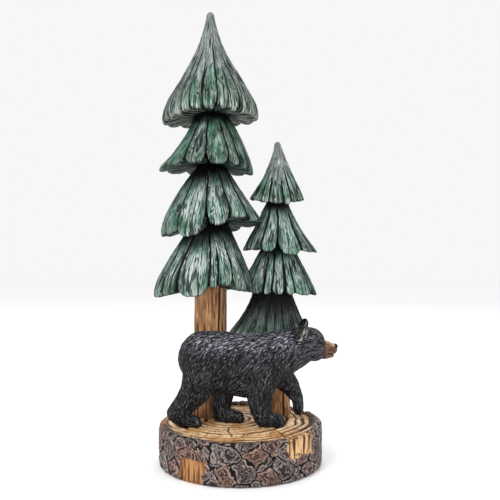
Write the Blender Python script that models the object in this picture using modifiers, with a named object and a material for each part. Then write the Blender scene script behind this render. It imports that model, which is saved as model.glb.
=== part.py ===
"""Resin bear statue: a black bear walking past two carved pines on a slice of log, cast in one piece.

Metres, +Z up. The origin is the middle of the flat underside, and the bear walks towards +X.
Run it with: blender --background --python part.py
"""

import math
import random

import bmesh
import bpy
from mathutils import Matrix, Vector

# Log slice: the round of wood that everything stands on.
LOG_DIAMETER = 0.118
LOG_THICKNESS = 0.028
LOG_EDGE_ROUNDING = 0.0018
# The lip of bark stands above the sawn wood by this much at the right, back, left and front.
BARK_LIP_RISE = (0.0015, 0.0030, 0.0015, 0.0002)
BARK_THICKNESS = 0.0055
BARK_GROOVE_DEPTH = 0.0022
BARK_PLATES_AROUND = 25
# Across one plate, as shares of its width: the groove on its left, then its two shoulders.
BARK_STEPS = (0.0, 0.24, 0.76)
# Rings of bark between the rounded edges: row turned by a share of a plate, height share, groove share.
BARK_LEVELS = ((0.0, 0.39, 0.0), (0.17, 0.50, 1.0), (0.35, 0.61, 0.0))
BARK_EDGE_SHARE = 0.5
BARK_WANDER = 0.10
# Where the bark is off: from and to in degrees, from and to in height share.
BARE_PATCHES = ((227, 246, 0.0, 0.50), (303, 330, 0.52, 1.0))
BARE_WOOD_DEPTH = 0.0028

# Pines: each stands on the log, at a place measured from the middle of the log.
TALL_PINE_HEIGHT = 0.3058
TALL_PINE_X = -0.0232
TALL_PINE_Y = 0.0240
TALL_TRUNK_DIAMETER = 0.0248
SHORT_PINE_HEIGHT = 0.2078
SHORT_PINE_X = 0.0280
SHORT_PINE_Y = 0.0280
SHORT_TRUNK_DIAMETER = 0.0180
PINE_DEPTH_SHARE = 0.85
TRUNK_SIDES = 16
TRUNK_GROOVE_DEPTH = 0.0006
ROOT_SPREAD = 0.0022
# Rings of a trunk: share of its height, and share of the spread at its foot.
TRUNK_LEVELS = ((0.0, 1.0), (0.10, 0.45), (0.30, 0.1), (1.0, 0.0))
BOUGH_GROOVE_DEPTH = 0.0022

# Bear: its length runs from rump to nose, and its place is the ground point under the middle of that.
BEAR_LENGTH = 0.1147
BEAR_X = 0.0127
BEAR_Y = -0.0060
BEAR_VOXEL = 0.0011
BEAR_FACES_KEPT = 2200

# What one casting sinks into the next, so that they join as one solid.
SINK = 0.0010

STATUE = "bear_and_pines_statue"
CASTING_SHAPES = "shapes_in_the_casting"

# Tiers of boughs, from the top down. Heights and radii are shares of the pine's height above the log.
# Four values run right, back, left, front. Angles are degrees from +X, and 270 faces the front.
# bulge swells the flank of a tier or, below zero, hollows it; shoulder swells it just above the rim.
TALL_TIERS = (
    {
        "top": 1.0,
        "neck": (0.010, 0.010, 0.010, 0.010),
        "reach": (0.118, 0.115, 0.118, 0.115),
        "rim": (0.728, 0.725, 0.716, 0.742),
        "bulge": (-0.58, -0.55, -0.55, -0.50),
        "shoulder": (2.4, 2.4, 2.4, 2.4),
        "edges": (197, 217, 234, 246, 262, 281, 295, 310, 325, 345),
        "tips": (0, 0, 0, -0.002, 0, 0.002, 0, 0, 0),
        "notches": {234: 0.010, 281: 0.010},
    },
    {
        "top": 0.7466,
        "neck": (0.038, 0.038, 0.037, 0.038),
        "reach": (0.110, 0.124, 0.134, 0.124),
        "rim": (0.594, 0.602, 0.603, 0.611),
        "bulge": (0.55, 0.10, -0.55, 0.20),
        "shoulder": (0.2, 0.4, 0, 0.6),
        "edges": (190, 215, 225, 236, 263, 277, 292, 302, 317, 338),
        "tips": (0, 0, 0.003, 0, 0.002, 0, 0.006, 0, 0),
        "notches": {225: 0.012, 263: 0.022},
    },
    {
        "top": 0.619,
        "neck": (0.035, 0.032, 0.029, 0.032),
        "reach": (0.134, 0.121, 0.123, 0.121),
        "rim": (0.474, 0.450, 0.439, 0.456),
        "bulge": (-0.05, 0.30, 0.70, 0.50),
        "shoulder": (0, 0.4, 0.6, 0.6),
        "edges": (204, 222, 247, 266, 276, 294, 306, 322, 342),
        "tips": (0, -0.008, 0, 0.010, 0.014, 0.024, 0.010, 0),
        "notches": {247: 0.014, 266: 0.036, 294: 0.016},
    },
    {
        "top": 0.4715,
        "neck": (0.044, 0.045, 0.046, 0.045),
        "reach": (0.118, 0.131, 0.142, 0.132),
        "rim": (0.309, 0.300, 0.290, 0.302),
        "bulge": (0.10, 0.30, 0.45, 0.50),
        "shoulder": (0, 0.4, 0.9, 0.8),
        "edges": (195, 214, 230, 258, 269, 279, 299, 309, 330, 351),
        "tips": (0, 0.006, -0.003, 0, 0.014, 0.022, 0.012, -0.002, -0.004),
        "notches": {230: 0.010, 299: 0.030},
    },
)
SHORT_TIERS = (
    {
        "top": 1.0,
        "neck": (0.0125, 0.0125, 0.0125, 0.0125),
        "reach": (0.105, 0.096, 0.109, 0.096),
        "rim": (0.782, 0.777, 0.786, 0.764),
        "bulge": (-0.25, -0.40, -0.80, -0.40),
        "shoulder": (0.3, 0.5, 0.3, 0.8),
        "edges": (205, 229, 248, 282, 301, 316, 338),
        "tips": (0, 0, 0, -0.004, 0, 0),
        "notches": {},
    },
    {
        "top": 0.789,
        "neck": (0.033, 0.034, 0.034, 0.034),
        "reach": (0.149, 0.130, 0.132, 0.130),
        "rim": (0.590, 0.600, 0.597, 0.606),
        "bulge": (-0.40, -0.10, -0.10, 0),
        "shoulder": (0.2, 0.2, 0.4, 0.4),
        "edges": (215, 236, 252, 267, 279, 312, 335),
        "tips": (0, -0.010, -0.004, -0.004, -0.026, -0.004),
        "notches": {267: 0.024},
    },
    {
        "top": 0.635,
        "neck": (0.043, 0.043, 0.043, 0.043),
        "reach": (0.147, 0.130, 0.142, 0.130),
        "rim": (0.434, 0.440, 0.450, 0.442),
        "bulge": (0.15, 0.15, 0.10, 0.15),
        "shoulder": (0.2, 0.3, 0.3, 0.4),
        "edges": (215, 242, 259, 283, 299, 333),
        "tips": (0, 0, 0, 0, 0),
        "notches": {259: 0.024, 283: 0.020},
    },
    {
        "top": 0.4716,
        "neck": (0.041, 0.058, 0.084, 0.058),
        "reach": (0.126, 0.140, 0.184, 0.116),
        "rim": (0.278, 0.285, 0.296, 0.272),
        "bulge": (-0.20, 0, -0.60, -0.10),
        "shoulder": (0, 0, 0, 0),
        "edges": (200, 225, 245, 262, 280, 298, 320),
        "tips": (0, 0, 0, 0, 0, 0),
        "notches": {},
    },
)
# Rings of a tier, as shares of the way from neck to rim, and how far its root reaches into the tier above.
TIER_STEPS = (0.0, 0.30, 0.54, 0.76, 0.91, 1.0)
TIER_ROOT_RISE = 0.032
# The hollow under a tier rises by this share of the pine's height to its middle.
HOLLOW_RISE = 0.020
# Fronds: width of those behind, where their two shoulders lie, and how far grooves cut up into the rim.
BACK_FROND_DEGREES = 32
FROND_SHOULDER = 0.42
SCALLOP_RISE = 0.012

# Bear masses: x, y, z of the middle and the three radii, all shares of the bear's length.
# x runs forward from the rump, y to the bear's left, z up from the ground.
SPINE = (
    (0.158, 0.000, 0.418, 0.160, 0.126, 0.170),
    (0.275, 0.000, 0.392, 0.125, 0.132, 0.196),
    (0.425, 0.000, 0.366, 0.125, 0.140, 0.198),
    (0.562, 0.000, 0.398, 0.112, 0.133, 0.184),
    (0.688, 0.000, 0.457, 0.080, 0.106, 0.148),
    (0.790, 0.000, 0.500, 0.085, 0.096, 0.118),
)
HEAD = (
    (0.822, 0.000, 0.508, 0.100, 0.094, 0.104),
    (0.850, 0.000, 0.474, 0.082, 0.084, 0.078),
)
MUZZLE = (
    (0.890, 0.000, 0.470, 0.050, 0.056, 0.066),
    (0.965, 0.000, 0.466, 0.038, 0.040, 0.050),
)
TAIL = ((0.026, 0.000, 0.415, 0.030, 0.030, 0.040),)
HIND_LEG_NEAR = (
    (0.156, -0.052, 0.360, 0.122, 0.082, 0.130),
    (0.115, -0.056, 0.228, 0.096, 0.074, 0.096),
    (0.056, -0.058, 0.152, 0.074, 0.060, 0.074),
    (0.000, -0.058, 0.086, 0.064, 0.054, 0.062),
    (0.044, -0.058, 0.044, 0.052, 0.052, 0.050),
    (0.106, -0.058, 0.032, 0.044, 0.048, 0.040),
)
HIND_LEG_FAR = (
    (0.250, 0.052, 0.310, 0.094, 0.078, 0.094),
    (0.278, 0.054, 0.215, 0.080, 0.066, 0.080),
    (0.268, 0.056, 0.105, 0.062, 0.055, 0.062),
    (0.270, 0.056, 0.054, 0.054, 0.050, 0.052),
    (0.364, 0.056, 0.036, 0.048, 0.048, 0.042),
)
FORE_LEG_NEAR = (
    (0.548, -0.052, 0.335, 0.104, 0.078, 0.104),
    (0.505, -0.056, 0.220, 0.084, 0.070, 0.084),
    (0.518, -0.058, 0.108, 0.068, 0.060, 0.068),
    (0.535, -0.058, 0.050, 0.060, 0.054, 0.052),
    (0.612, -0.058, 0.038, 0.052, 0.050, 0.044),
)
FORE_LEG_FAR = (
    (0.632, 0.050, 0.310, 0.085, 0.066, 0.085),
    (0.702, 0.054, 0.236, 0.062, 0.054, 0.062),
    (0.750, 0.056, 0.156, 0.038, 0.042, 0.040),
    (0.754, 0.056, 0.088, 0.034, 0.040, 0.042),
)
EAR_NEAR = (
    (0.768, -0.068, 0.573, 0.034, 0.016, 0.036),
    (0.782, -0.056, 0.536, 0.034, 0.024, 0.034),
)
EAR_FAR = (
    (0.792, 0.060, 0.628, 0.030, 0.017, 0.036),
    (0.800, 0.050, 0.570, 0.038, 0.026, 0.044),
)
BEAR_CHAINS = (
    SPINE,
    HEAD,
    MUZZLE,
    TAIL,
    HIND_LEG_NEAR,
    HIND_LEG_FAR,
    FORE_LEG_NEAR,
    FORE_LEG_FAR,
    EAR_NEAR,
    EAR_FAR,
)


def clear_scene():
    for obj in list(bpy.data.objects):
        bpy.data.objects.remove(obj, do_unlink=True)


def new_collection(name):
    collection = bpy.data.collections.new(name)
    bpy.context.scene.collection.children.link(collection)
    return collection


def painted_resin(name, color, roughness):
    material = bpy.data.materials.new(name)
    material.use_nodes = True
    shader = material.node_tree.nodes["Principled BSDF"]
    shader.inputs["Base Color"].default_value = (*color, 1.0)
    shader.inputs["Roughness"].default_value = roughness
    shader.inputs["Metallic"].default_value = 0.0
    return material


def mesh_object(name, bm, collection, material):
    """Makes an object of a bmesh, with its faces turned outwards."""
    bmesh.ops.recalc_face_normals(bm, faces=bm.faces)
    mesh = bpy.data.meshes.new(name)
    bm.to_mesh(mesh)
    bm.free()
    mesh.materials.append(material)
    obj = bpy.data.objects.new(name, mesh)
    collection.objects.link(obj)
    return obj


def as_helper(obj):
    obj.hide_render = True
    obj.display_type = "WIRE"
    return obj


def around(degrees, compass):
    """Blends four values, for right, back, left and front, smoothly round the circle."""
    quarter = (degrees % 360) / 90
    low = int(quarter)
    share = quarter - low
    smooth = share * share * (3 - 2 * share)
    return compass[low % 4] * (1 - smooth) + compass[(low + 1) % 4] * smooth


def loft(bm, rings):
    """Joins closed rings of equal length into a skin, with a pole where a ring is one point."""
    verts = [[bm.verts.new(point) for point in ring] for ring in rings]
    for upper, lower in zip(verts, verts[1:]):
        count = max(len(upper), len(lower))
        for i in range(count):
            j = (i + 1) % count
            if len(upper) == 1:
                bm.faces.new((upper[0], lower[j], lower[i]))
            elif len(lower) == 1:
                bm.faces.new((upper[i], upper[j], lower[0]))
            else:
                bm.faces.new((upper[i], upper[j], lower[j], lower[i]))


def frond_edges(tier, seed):
    """The groove angles all round a tier: the given ones in front, then evenly spaced ones behind."""
    front = list(tier["edges"])
    gap = front[0] + 360 - front[-1]
    count = max(2, round(gap / BACK_FROND_DEGREES))
    spread = random.Random(seed)
    back = [
        front[-1] + gap * (i + spread.uniform(-0.15, 0.15)) / count
        for i in range(1, count)
    ]
    return front + back


def tier_columns(tier, seed):
    """(angle, groove share, tip offset, notch) of each column: one in each groove and two on each frond."""
    edges = frond_edges(tier, seed)
    tips = list(tier["tips"])
    columns = []
    for i, edge in enumerate(edges):
        following = edges[(i + 1) % len(edges)] + (360 if i + 1 == len(edges) else 0)
        middle, half = (edge + following) / 2, (following - edge) / 2
        tip = tips[i] if i < len(tips) else 0.0
        before = tips[i - 1] if 0 < i <= len(tips) else 0.0
        notch = SCALLOP_RISE + tier["notches"].get(edge, 0.0)
        columns.append((edge, 1.0, (tip + before) / 2, notch))
        columns.append((middle - half * FROND_SHOULDER, 0.0, tip, 0.0))
        columns.append((middle + half * FROND_SHOULDER, 0.0, tip, 0.0))
    return columns


def tier_radius(tier, degrees, t):
    """The radius of a tier at share t of the way from neck to rim, as a share of the pine's height."""
    neck = around(degrees, tier["neck"])
    reach = around(degrees, tier["reach"])
    bulge = around(degrees, tier["bulge"])
    shoulder = around(degrees, tier["shoulder"])
    share = t + t * (1 - t) * (bulge + shoulder * t**3)
    return neck + (reach - neck) * share


def bough_tier(name, place, height, tier, seed, first, collection, material):
    """One skirt of boughs: grooved fronds outside and a shallow hollow beneath."""
    columns = tier_columns(tier, seed)

    def point(degrees, radius, z):
        turn = math.radians(degrees)
        return (
            place[0] + radius * height * math.cos(turn),
            place[1] + radius * height * math.sin(turn) * PINE_DEPTH_SHARE,
            place[2] + z * height,
        )

    def rim_height(degrees, tip, notch):
        return around(degrees, tier["rim"]) + tip + notch

    groove = BOUGH_GROOVE_DEPTH / height
    rings = []
    rings.append([point(0, 0, tier["top"] if first else tier["top"] + TIER_ROOT_RISE)])
    for t in TIER_STEPS:
        ring = []
        for degrees, grooved, tip, notch in columns:
            bottom = rim_height(degrees, tip, notch)
            z = tier["top"] + (bottom - tier["top"]) * t
            if first and t == 0.0:
                z -= tier["neck"][0] * 0.5
            radius = tier_radius(tier, degrees, t) - grooved * groove * min(1.0, 1.6 * t)
            ring.append(point(degrees, radius, z))
        rings.append(ring)
    rings.append([point(0, 0, sum(tier["rim"]) / 4 + HOLLOW_RISE)])
    bm = bmesh.new()
    loft(bm, rings)
    return as_helper(mesh_object(name, bm, collection, material))


def trunk(name, place, diameter, height, collection, material):
    """A grooved trunk that spreads where it meets the log."""
    rings = [[(place[0], place[1], place[2] - SINK)]]
    for share, spread in TRUNK_LEVELS:
        z = place[2] - SINK + share * (height + SINK)
        ring = []
        for i in range(TRUNK_SIDES):
            turn = 2 * math.pi * i / TRUNK_SIDES
            radius = diameter / 2 - TRUNK_GROOVE_DEPTH * (i % 2) + ROOT_SPREAD * spread
            ring.append((place[0] + radius * math.cos(turn), place[1] + radius * math.sin(turn), z))
        rings.append(ring)
    rings.append([(place[0], place[1], place[2] + height)])
    bm = bmesh.new()
    loft(bm, rings)
    return as_helper(mesh_object(name, bm, collection, material))


def pine(name, place, height, trunk_diameter, tiers, seed, collection, boughs, wood):
    """A trunk that runs up into the lowest tier, and the tiers above it, each rooted in the next."""
    lowest = sum(tiers[-1]["rim"]) / 4
    trunk(name + "_trunk", place, trunk_diameter, (lowest + 2 * HOLLOW_RISE) * height, collection, wood)
    for i, tier in enumerate(tiers):
        bough_tier(
            f"{name}_tier_{i + 1}", place, height, tier, seed + i, i == 0, collection, boughs
        )


def is_bare(degrees, share):
    """Whether the bark is missing at an angle and height share of the log's side."""
    return any(
        start < degrees % 360 < end and low <= share <= high
        for start, end, low, high in BARE_PATCHES
    )


def bark_rings():
    """The side of the log: two staggered rows of plates with sunk joints between them."""
    spread = random.Random(5)
    pitch = 360 / BARK_PLATES_AROUND
    edge = LOG_EDGE_ROUNDING / LOG_THICKNESS
    lowest = (BARK_LEVELS[0][0], edge, BARK_EDGE_SHARE)
    highest = (BARK_LEVELS[-1][0], 1 - edge, BARK_EDGE_SHARE)
    rings = []
    for turned, share, grooved in (lowest, *BARK_LEVELS, highest):
        ring = []
        for plate in range(BARK_PLATES_AROUND):
            for step in BARK_STEPS:
                wander = spread.uniform(-BARK_WANDER, BARK_WANDER)
                level = share + wander / 2
                degrees = pitch * (plate + step + turned + wander)
                depth = BARK_GROOVE_DEPTH * (1.0 if step == BARK_STEPS[0] else grooved)
                if is_bare(degrees, level):
                    depth = BARE_WOOD_DEPTH
                turn = math.radians(degrees)
                radius = LOG_DIAMETER / 2 - depth
                ring.append((radius * math.cos(turn), radius * math.sin(turn), level * LOG_THICKNESS))
        rings.append(ring)
    return rings


def log_slice(collection, material):
    """The slice of log: flat sawn top and underside, bark plates, and a lip of bark proud at the back."""
    columns = BARK_PLATES_AROUND * len(BARK_STEPS)
    outer = LOG_DIAMETER / 2
    wood = outer - BARK_THICKNESS

    def circle(radius, z, lip):
        ring = []
        for i in range(columns):
            degrees = 360 * i / columns
            turn = math.radians(degrees)
            rise = around(degrees, BARK_LIP_RISE) if lip else 0.0
            ring.append((radius * math.cos(turn), radius * math.sin(turn), z + rise))
        return ring

    rings = [[(0, 0, 0)], circle(outer - LOG_EDGE_ROUNDING, 0.0, False)]
    rings += bark_rings()
    rings.append(circle(outer - LOG_EDGE_ROUNDING - BARE_WOOD_DEPTH / 2, LOG_THICKNESS, True))
    rings.append(circle(wood + LOG_EDGE_ROUNDING / 2, LOG_THICKNESS, True))
    rings.append(circle(wood, LOG_THICKNESS, False))
    rings.append([(0, 0, LOG_THICKNESS)])
    bm = bmesh.new()
    loft(bm, rings)
    return mesh_object(STATUE, bm, collection, material)


def bear_frame():
    """Places the bear's shares: its length along X, its middle over its place on the log."""
    corner = Vector((BEAR_X - BEAR_LENGTH / 2, BEAR_Y, LOG_THICKNESS - SINK / 2))
    return Matrix.Translation(corner) @ Matrix.Diagonal((BEAR_LENGTH,) * 3 + (1.0,))


def add_mass(bm, frame, mass):
    """Adds one ellipsoid of the bear."""
    x, y, z, rx, ry, rz = mass
    shape = frame @ Matrix.Translation((x, y, z)) @ Matrix.Diagonal((rx, ry, rz, 1.0))
    bmesh.ops.create_icosphere(bm, subdivisions=2, radius=1.0, matrix=shape)


def bear_body(collection, material):
    """Limbs and trunk as hulls between neighbouring masses, melted together by a voxel remesh."""
    frame = bear_frame()
    body = bpy.data.meshes.new("bear")
    whole = bmesh.new()
    for chain in BEAR_CHAINS:
        pairs = list(zip(chain, chain[1:])) or [(chain[0], chain[0])]
        for first, second in pairs:
            bm = bmesh.new()
            add_mass(bm, frame, first)
            add_mass(bm, frame, second)
            hull = bmesh.ops.convex_hull(bm, input=list(bm.verts))
            loose = [v for v in hull["geom_interior"] if isinstance(v, bmesh.types.BMVert)]
            bmesh.ops.delete(bm, geom=loose, context="VERTS")
            piece = bpy.data.meshes.new("limb")
            bm.to_mesh(piece)
            bm.free()
            whole.from_mesh(piece)
            bpy.data.meshes.remove(piece)
    whole.to_mesh(body)
    whole.free()
    body.materials.append(material)
    obj = bpy.data.objects.new("bear", body)
    collection.objects.link(obj)
    remesh = obj.modifiers.new("melt_masses", "REMESH")
    remesh.mode = "VOXEL"
    remesh.voxel_size = BEAR_VOXEL
    smooth = obj.modifiers.new("soften_joins", "SMOOTH")
    smooth.factor = 0.5
    smooth.iterations = 4
    decimate = obj.modifiers.new("fewer_faces", "DECIMATE")
    decimate.ratio = 0.1
    return as_helper(obj)


def keep_faces(obj, wanted):
    """Sets an object's Decimate modifier so that it keeps about this many triangles."""
    decimate = obj.modifiers["fewer_faces"]
    decimate.ratio = 1.0
    graph = bpy.context.evaluated_depsgraph_get()
    mesh = obj.evaluated_get(graph).to_mesh()
    mesh.calc_loop_triangles()
    decimate.ratio = wanted / len(mesh.loop_triangles)
    obj.evaluated_get(graph).to_mesh_clear()


def main():
    clear_scene()
    parts = new_collection(STATUE)
    shapes = new_collection(CASTING_SHAPES)
    bark = painted_resin("bark_brown", (0.11, 0.075, 0.06), 0.55)
    wood = painted_resin("bare_wood", (0.45, 0.27, 0.12), 0.5)
    green = painted_resin("pine_green", (0.05, 0.11, 0.09), 0.45)
    black = painted_resin("bear_black", (0.025, 0.025, 0.028), 0.45)
    statue = log_slice(parts, bark)
    tall_place = (TALL_PINE_X, TALL_PINE_Y, LOG_THICKNESS)
    short_place = (SHORT_PINE_X, SHORT_PINE_Y, LOG_THICKNESS)
    pine("tall_pine", tall_place, TALL_PINE_HEIGHT, TALL_TRUNK_DIAMETER, TALL_TIERS, 10,
         shapes, green, wood)
    pine("short_pine", short_place, SHORT_PINE_HEIGHT, SHORT_TRUNK_DIAMETER, SHORT_TIERS, 40,
         shapes, green, wood)
    bear = bear_body(shapes, black)
    bpy.context.view_layer.update()
    keep_faces(bear, BEAR_FACES_KEPT)
    cast = statue.modifiers.new("cast_in_one", "BOOLEAN")
    cast.operation = "UNION"
    cast.operand_type = "COLLECTION"
    cast.collection = shapes
    cast.solver = "EXACT"


main()
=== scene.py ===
# %% [markdown]
# # A bear and two pines, cast in resin
#
# The real thing is one casting about 33 cm tall: a black bear walks past two carved pines on a slice of
# log. It is carved once in clay or wood, cast in resin, and then painted by hand in layers: a base
# colour, a dark wash that settles in every cut, and a pale dry brush that catches only the ridges. This
# lesson rebuilds it in the same order. Shapes come first, cuts and ridges second, and the paint last,
# driven by what the cuts left.

import math
import random

import bmesh
import bpy
import numpy as np
from mathutils import Matrix, Vector


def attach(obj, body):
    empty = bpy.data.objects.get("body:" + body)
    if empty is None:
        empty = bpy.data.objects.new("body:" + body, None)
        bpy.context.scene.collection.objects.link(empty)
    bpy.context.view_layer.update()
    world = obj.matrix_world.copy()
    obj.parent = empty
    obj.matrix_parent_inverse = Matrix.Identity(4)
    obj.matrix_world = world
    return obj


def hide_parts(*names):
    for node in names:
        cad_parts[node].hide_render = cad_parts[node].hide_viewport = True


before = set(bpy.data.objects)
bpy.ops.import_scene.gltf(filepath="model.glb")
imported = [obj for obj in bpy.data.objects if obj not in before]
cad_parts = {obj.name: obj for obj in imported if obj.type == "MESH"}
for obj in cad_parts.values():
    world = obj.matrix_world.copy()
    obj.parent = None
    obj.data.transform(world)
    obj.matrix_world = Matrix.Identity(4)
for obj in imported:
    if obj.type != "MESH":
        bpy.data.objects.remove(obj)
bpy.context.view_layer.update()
STATUE = "bear_and_pines_statue"

# %% [markdown]
# ## Camera, light and floor
#
# The ellipses of the log's two edges tell where the photographer stood: level with the middle of the
# statue and half a metre in front of it. A long lens would flatten those ellipses, so the focal length
# follows from them. The light is a studio's: one large soft box high at the left front, a weaker one at
# the right, and a pale surround that fills the shadows. The floor is a plain pale plane, and it isn't
# part of the object.

# %% Camera, light and floor
LENS = 49.3
camera = bpy.data.objects.new("camera", bpy.data.cameras.new("camera"))
camera.data.lens = LENS
camera.data.sensor_width = 36.0
camera.location = (0.0069, -0.497, 0.1528)
camera.rotation_euler = (math.pi / 2, 0, 0)
bpy.context.scene.collection.objects.link(camera)
bpy.context.scene.camera = camera

# Name, place and width in metres, power in watts.
SOFT_BOXES = (
    ("key", (-0.55, -0.85, 0.95), 0.50, 8.0),
    ("fill", (0.80, -0.70, 0.45), 0.70, 2.0),
    ("back", (0.15, 0.75, 0.85), 0.50, 3.0),
)
for name, place, size, watts in SOFT_BOXES:
    lamp = bpy.data.lights.new(name, "AREA")
    lamp.size = size
    lamp.energy = watts
    holder = bpy.data.objects.new(name, lamp)
    holder.location = place
    holder.rotation_euler = (Vector((0, 0, 0.15)) - Vector(place)).to_track_quat("-Z", "Y").to_euler()
    bpy.context.scene.collection.objects.link(holder)

SURROUND = 0.93
FLOOR_PALENESS = 0.98
surround = bpy.data.worlds.new("studio")
surround.use_nodes = True
sky = surround.node_tree.nodes["Background"].inputs
sky["Color"].default_value = (1.0, 1.0, 1.0, 1.0)
sky["Strength"].default_value = SURROUND
bpy.context.scene.world = surround
bpy.context.scene.view_settings.view_transform = "Standard"

floor_mesh = bpy.data.meshes.new("floor")
sheet = bmesh.new()
bmesh.ops.create_grid(sheet, x_segments=1, y_segments=1, size=3.0)
sheet.to_mesh(floor_mesh)
sheet.free()
floor = bpy.data.objects.new("floor", floor_mesh)
floor.location.z = -0.0004
bpy.context.scene.collection.objects.link(floor)
pale = bpy.data.materials.new("pale_floor")
pale.use_nodes = True
card = pale.node_tree.nodes["Principled BSDF"].inputs
card["Base Color"].default_value = (FLOOR_PALENESS, FLOOR_PALENESS, FLOOR_PALENESS, 1.0)
card["Roughness"].default_value = 0.9
floor.data.materials.append(pale)
print("camera", tuple(camera.location), "lens", LENS, "mm")

# %% [markdown]
# ## A bench for nodes
#
# Both materials and Geometry Nodes are trees of small boxes. Wiring them by hand hides the sums they do,
# so a socket is wrapped in a class that understands + - * / and a few verbs. `1 - mask * 0.5` then adds
# its own Math nodes. One method makes every other kind of node: its settings first, then the values of
# its sockets.

# %% A bench for nodes
class Wire:
    """One output socket of a node, which can be used in Python sums."""

    def __init__(self, bench, socket):
        self.bench, self.socket = bench, socket

    def sum_with(self, operation, *others):
        return self.bench.node("ShaderNodeMath", {"operation": operation}, [self, *others])

    def __add__(self, other):
        return self.sum_with("ADD", other)

    def __sub__(self, other):
        return self.sum_with("SUBTRACT", other)

    def __mul__(self, other):
        return self.sum_with("MULTIPLY", other)

    def __truediv__(self, other):
        return self.sum_with("DIVIDE", other)

    def __rsub__(self, other):
        return self.bench.node("ShaderNodeMath", {"operation": "SUBTRACT"}, [other, self])

    def __rtruediv__(self, other):
        return self.bench.node("ShaderNodeMath", {"operation": "DIVIDE"}, [other, self])

    __radd__ = __add__
    __rmul__ = __mul__

    def between(self, low, high):
        """Runs smoothly from 0 where this value is low to 1 where it is high."""
        return self.bench.node(
            "ShaderNodeMapRange",
            {"interpolation_type": "SMOOTHSTEP"},
            {"Value": self, "From Min": low, "From Max": high},
        )

    def scaled(self, factor):
        """A vector times a number, or times three numbers."""
        if isinstance(factor, (tuple, list)):
            return self.bench.node("ShaderNodeVectorMath", {"operation": "MULTIPLY"}, [self, factor])
        return self.bench.node("ShaderNodeVectorMath", {"operation": "SCALE"}, {0: self, "Scale": factor})

    def shifted(self, offset):
        return self.bench.node("ShaderNodeVectorMath", {"operation": "ADD"}, [self, offset])


class Bench:
    """A node tree with one method that adds a node, sets it up and returns an output."""

    def __init__(self, tree):
        self.tree = tree

    def node(self, kind, settings=None, inputs=None, out=0):
        made = self.tree.nodes.new(kind)
        for key, value in (settings or {}).items():
            setattr(made, key, value)
        pairs = enumerate(inputs) if isinstance(inputs, (list, tuple)) else (inputs or {}).items()
        for key, value in pairs:
            self.feed(made.inputs[key], value)
        return Wire(self, made.outputs[out])

    def feed(self, socket, value):
        if isinstance(value, Wire):
            self.tree.links.new(value.socket, socket)
        elif value is not None:
            if socket.type == "RGBA" and len(value) == 3:
                value = (*value, 1.0)
            socket.default_value = value

    def noise(self, vector, scale, detail=2.0, roughness=0.5, out="Fac"):
        sockets = {"Vector": vector, "Scale": scale, "Detail": detail, "Roughness": roughness}
        return self.node("ShaderNodeTexNoise", None, sockets, out)

    def mix(self, factor, one, other):
        """Blends two colours."""
        made = self.tree.nodes.new("ShaderNodeMix")
        made.data_type = "RGBA"
        for key, value in ((0, factor), (6, one), (7, other)):
            self.feed(made.inputs[key], value)
        return Wire(self, made.outputs[2])


print("bench ready")

# %% [markdown]
# ## Round skins
#
# Log, trunks and boughs are all rings of points around an upright axis, joined ring to ring from the top
# down. One helper turns a grid of points into a closed mesh, and stores what each point knows about the
# carving as attributes: how deep it lies in a cut, or how far it is from the rim. The paint reads those
# later. A second helper gives four values, for right, back, left and front, and blends them smoothly
# round the circle, which is how the carver's lopsided shapes are written down.

# %% Round skins
def around(degrees, compass):
    """Blends four values, for right, back, left and front, smoothly round the circle."""
    quarter = np.mod(degrees, 360.0) / 90.0
    low = np.floor(quarter).astype(int) % 4
    share = quarter - np.floor(quarter)
    smooth = share * share * (3 - 2 * share)
    values = np.array(compass)
    return values[low] * (1 - smooth) + values[(low + 1) % 4] * smooth


def smoothstep(low, high, value):
    """Runs smoothly from 0 where the value is low to 1 where it is high."""
    share = np.clip((value - low) / (high - low), 0.0, 1.0)
    return share * share * (3 - 2 * share)


def store(mesh, layer, values):
    """Stores a number, or three, for every point of a mesh."""
    if values.ndim == 2 and values.shape[1] == 3:
        mesh.attributes.new(layer, "FLOAT_VECTOR", "POINT").data.foreach_set("vector", values.ravel())
    else:
        mesh.attributes.new(layer, "FLOAT", "POINT").data.foreach_set("value", values.astype(float).ravel())


def skin(name, grid, top, bottom, layers):
    """Closes a grid of rings, listed from the top down, with a pole at each end, and stores its layers."""
    rows, columns = grid.shape[:2]
    verts = np.concatenate([[top], grid.reshape(-1, 3), [bottom]])
    here = 1 + np.arange(rows * columns).reshape(rows, columns)
    after = np.roll(here, -1, axis=1)
    quads = np.stack([here[:-1], here[1:], after[1:], after[:-1]], axis=-1).reshape(-1, 4)
    first, last = 0, len(verts) - 1
    faces = quads.tolist()
    faces += [[first, int(a), int(b)] for a, b in zip(here[0], after[0])]
    faces += [[last, int(b), int(a)] for a, b in zip(here[-1], after[-1])]
    mesh = bpy.data.meshes.new(name)
    mesh.from_pydata(verts.tolist(), [], faces)
    for layer, values in layers.items():
        flat = values.reshape(rows * columns, -1)
        upper, lower = flat[:columns].mean(axis=0), flat[-columns:].mean(axis=0)
        store(mesh, layer, np.concatenate([[upper], flat, [lower]]))
    mesh.shade_smooth()
    piece = bpy.data.objects.new(name, mesh)
    bpy.context.scene.collection.objects.link(piece)
    return piece


def wavy(seed, cells, rows=16):
    """A smooth random height over (turn, level), which closes round the circle after `cells` cells."""
    table = np.random.default_rng(seed).uniform(-1, 1, (rows, cells))

    def height(turn, level):
        u, v = np.mod(turn, 1.0) * cells, np.clip(level, 0, rows - 1.001)
        i, j = np.floor(u).astype(int), np.floor(v).astype(int)
        a, b = u - i, v - j
        a, b = a * a * (3 - 2 * a), b * b * (3 - 2 * b)
        upper = table[j, i % cells] * (1 - a) + table[j, (i + 1) % cells] * a
        lower = table[j + 1, i % cells] * (1 - a) + table[j + 1, (i + 1) % cells] * a
        return upper * (1 - b) + lower * b

    return height


print("skin helpers ready")

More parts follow.
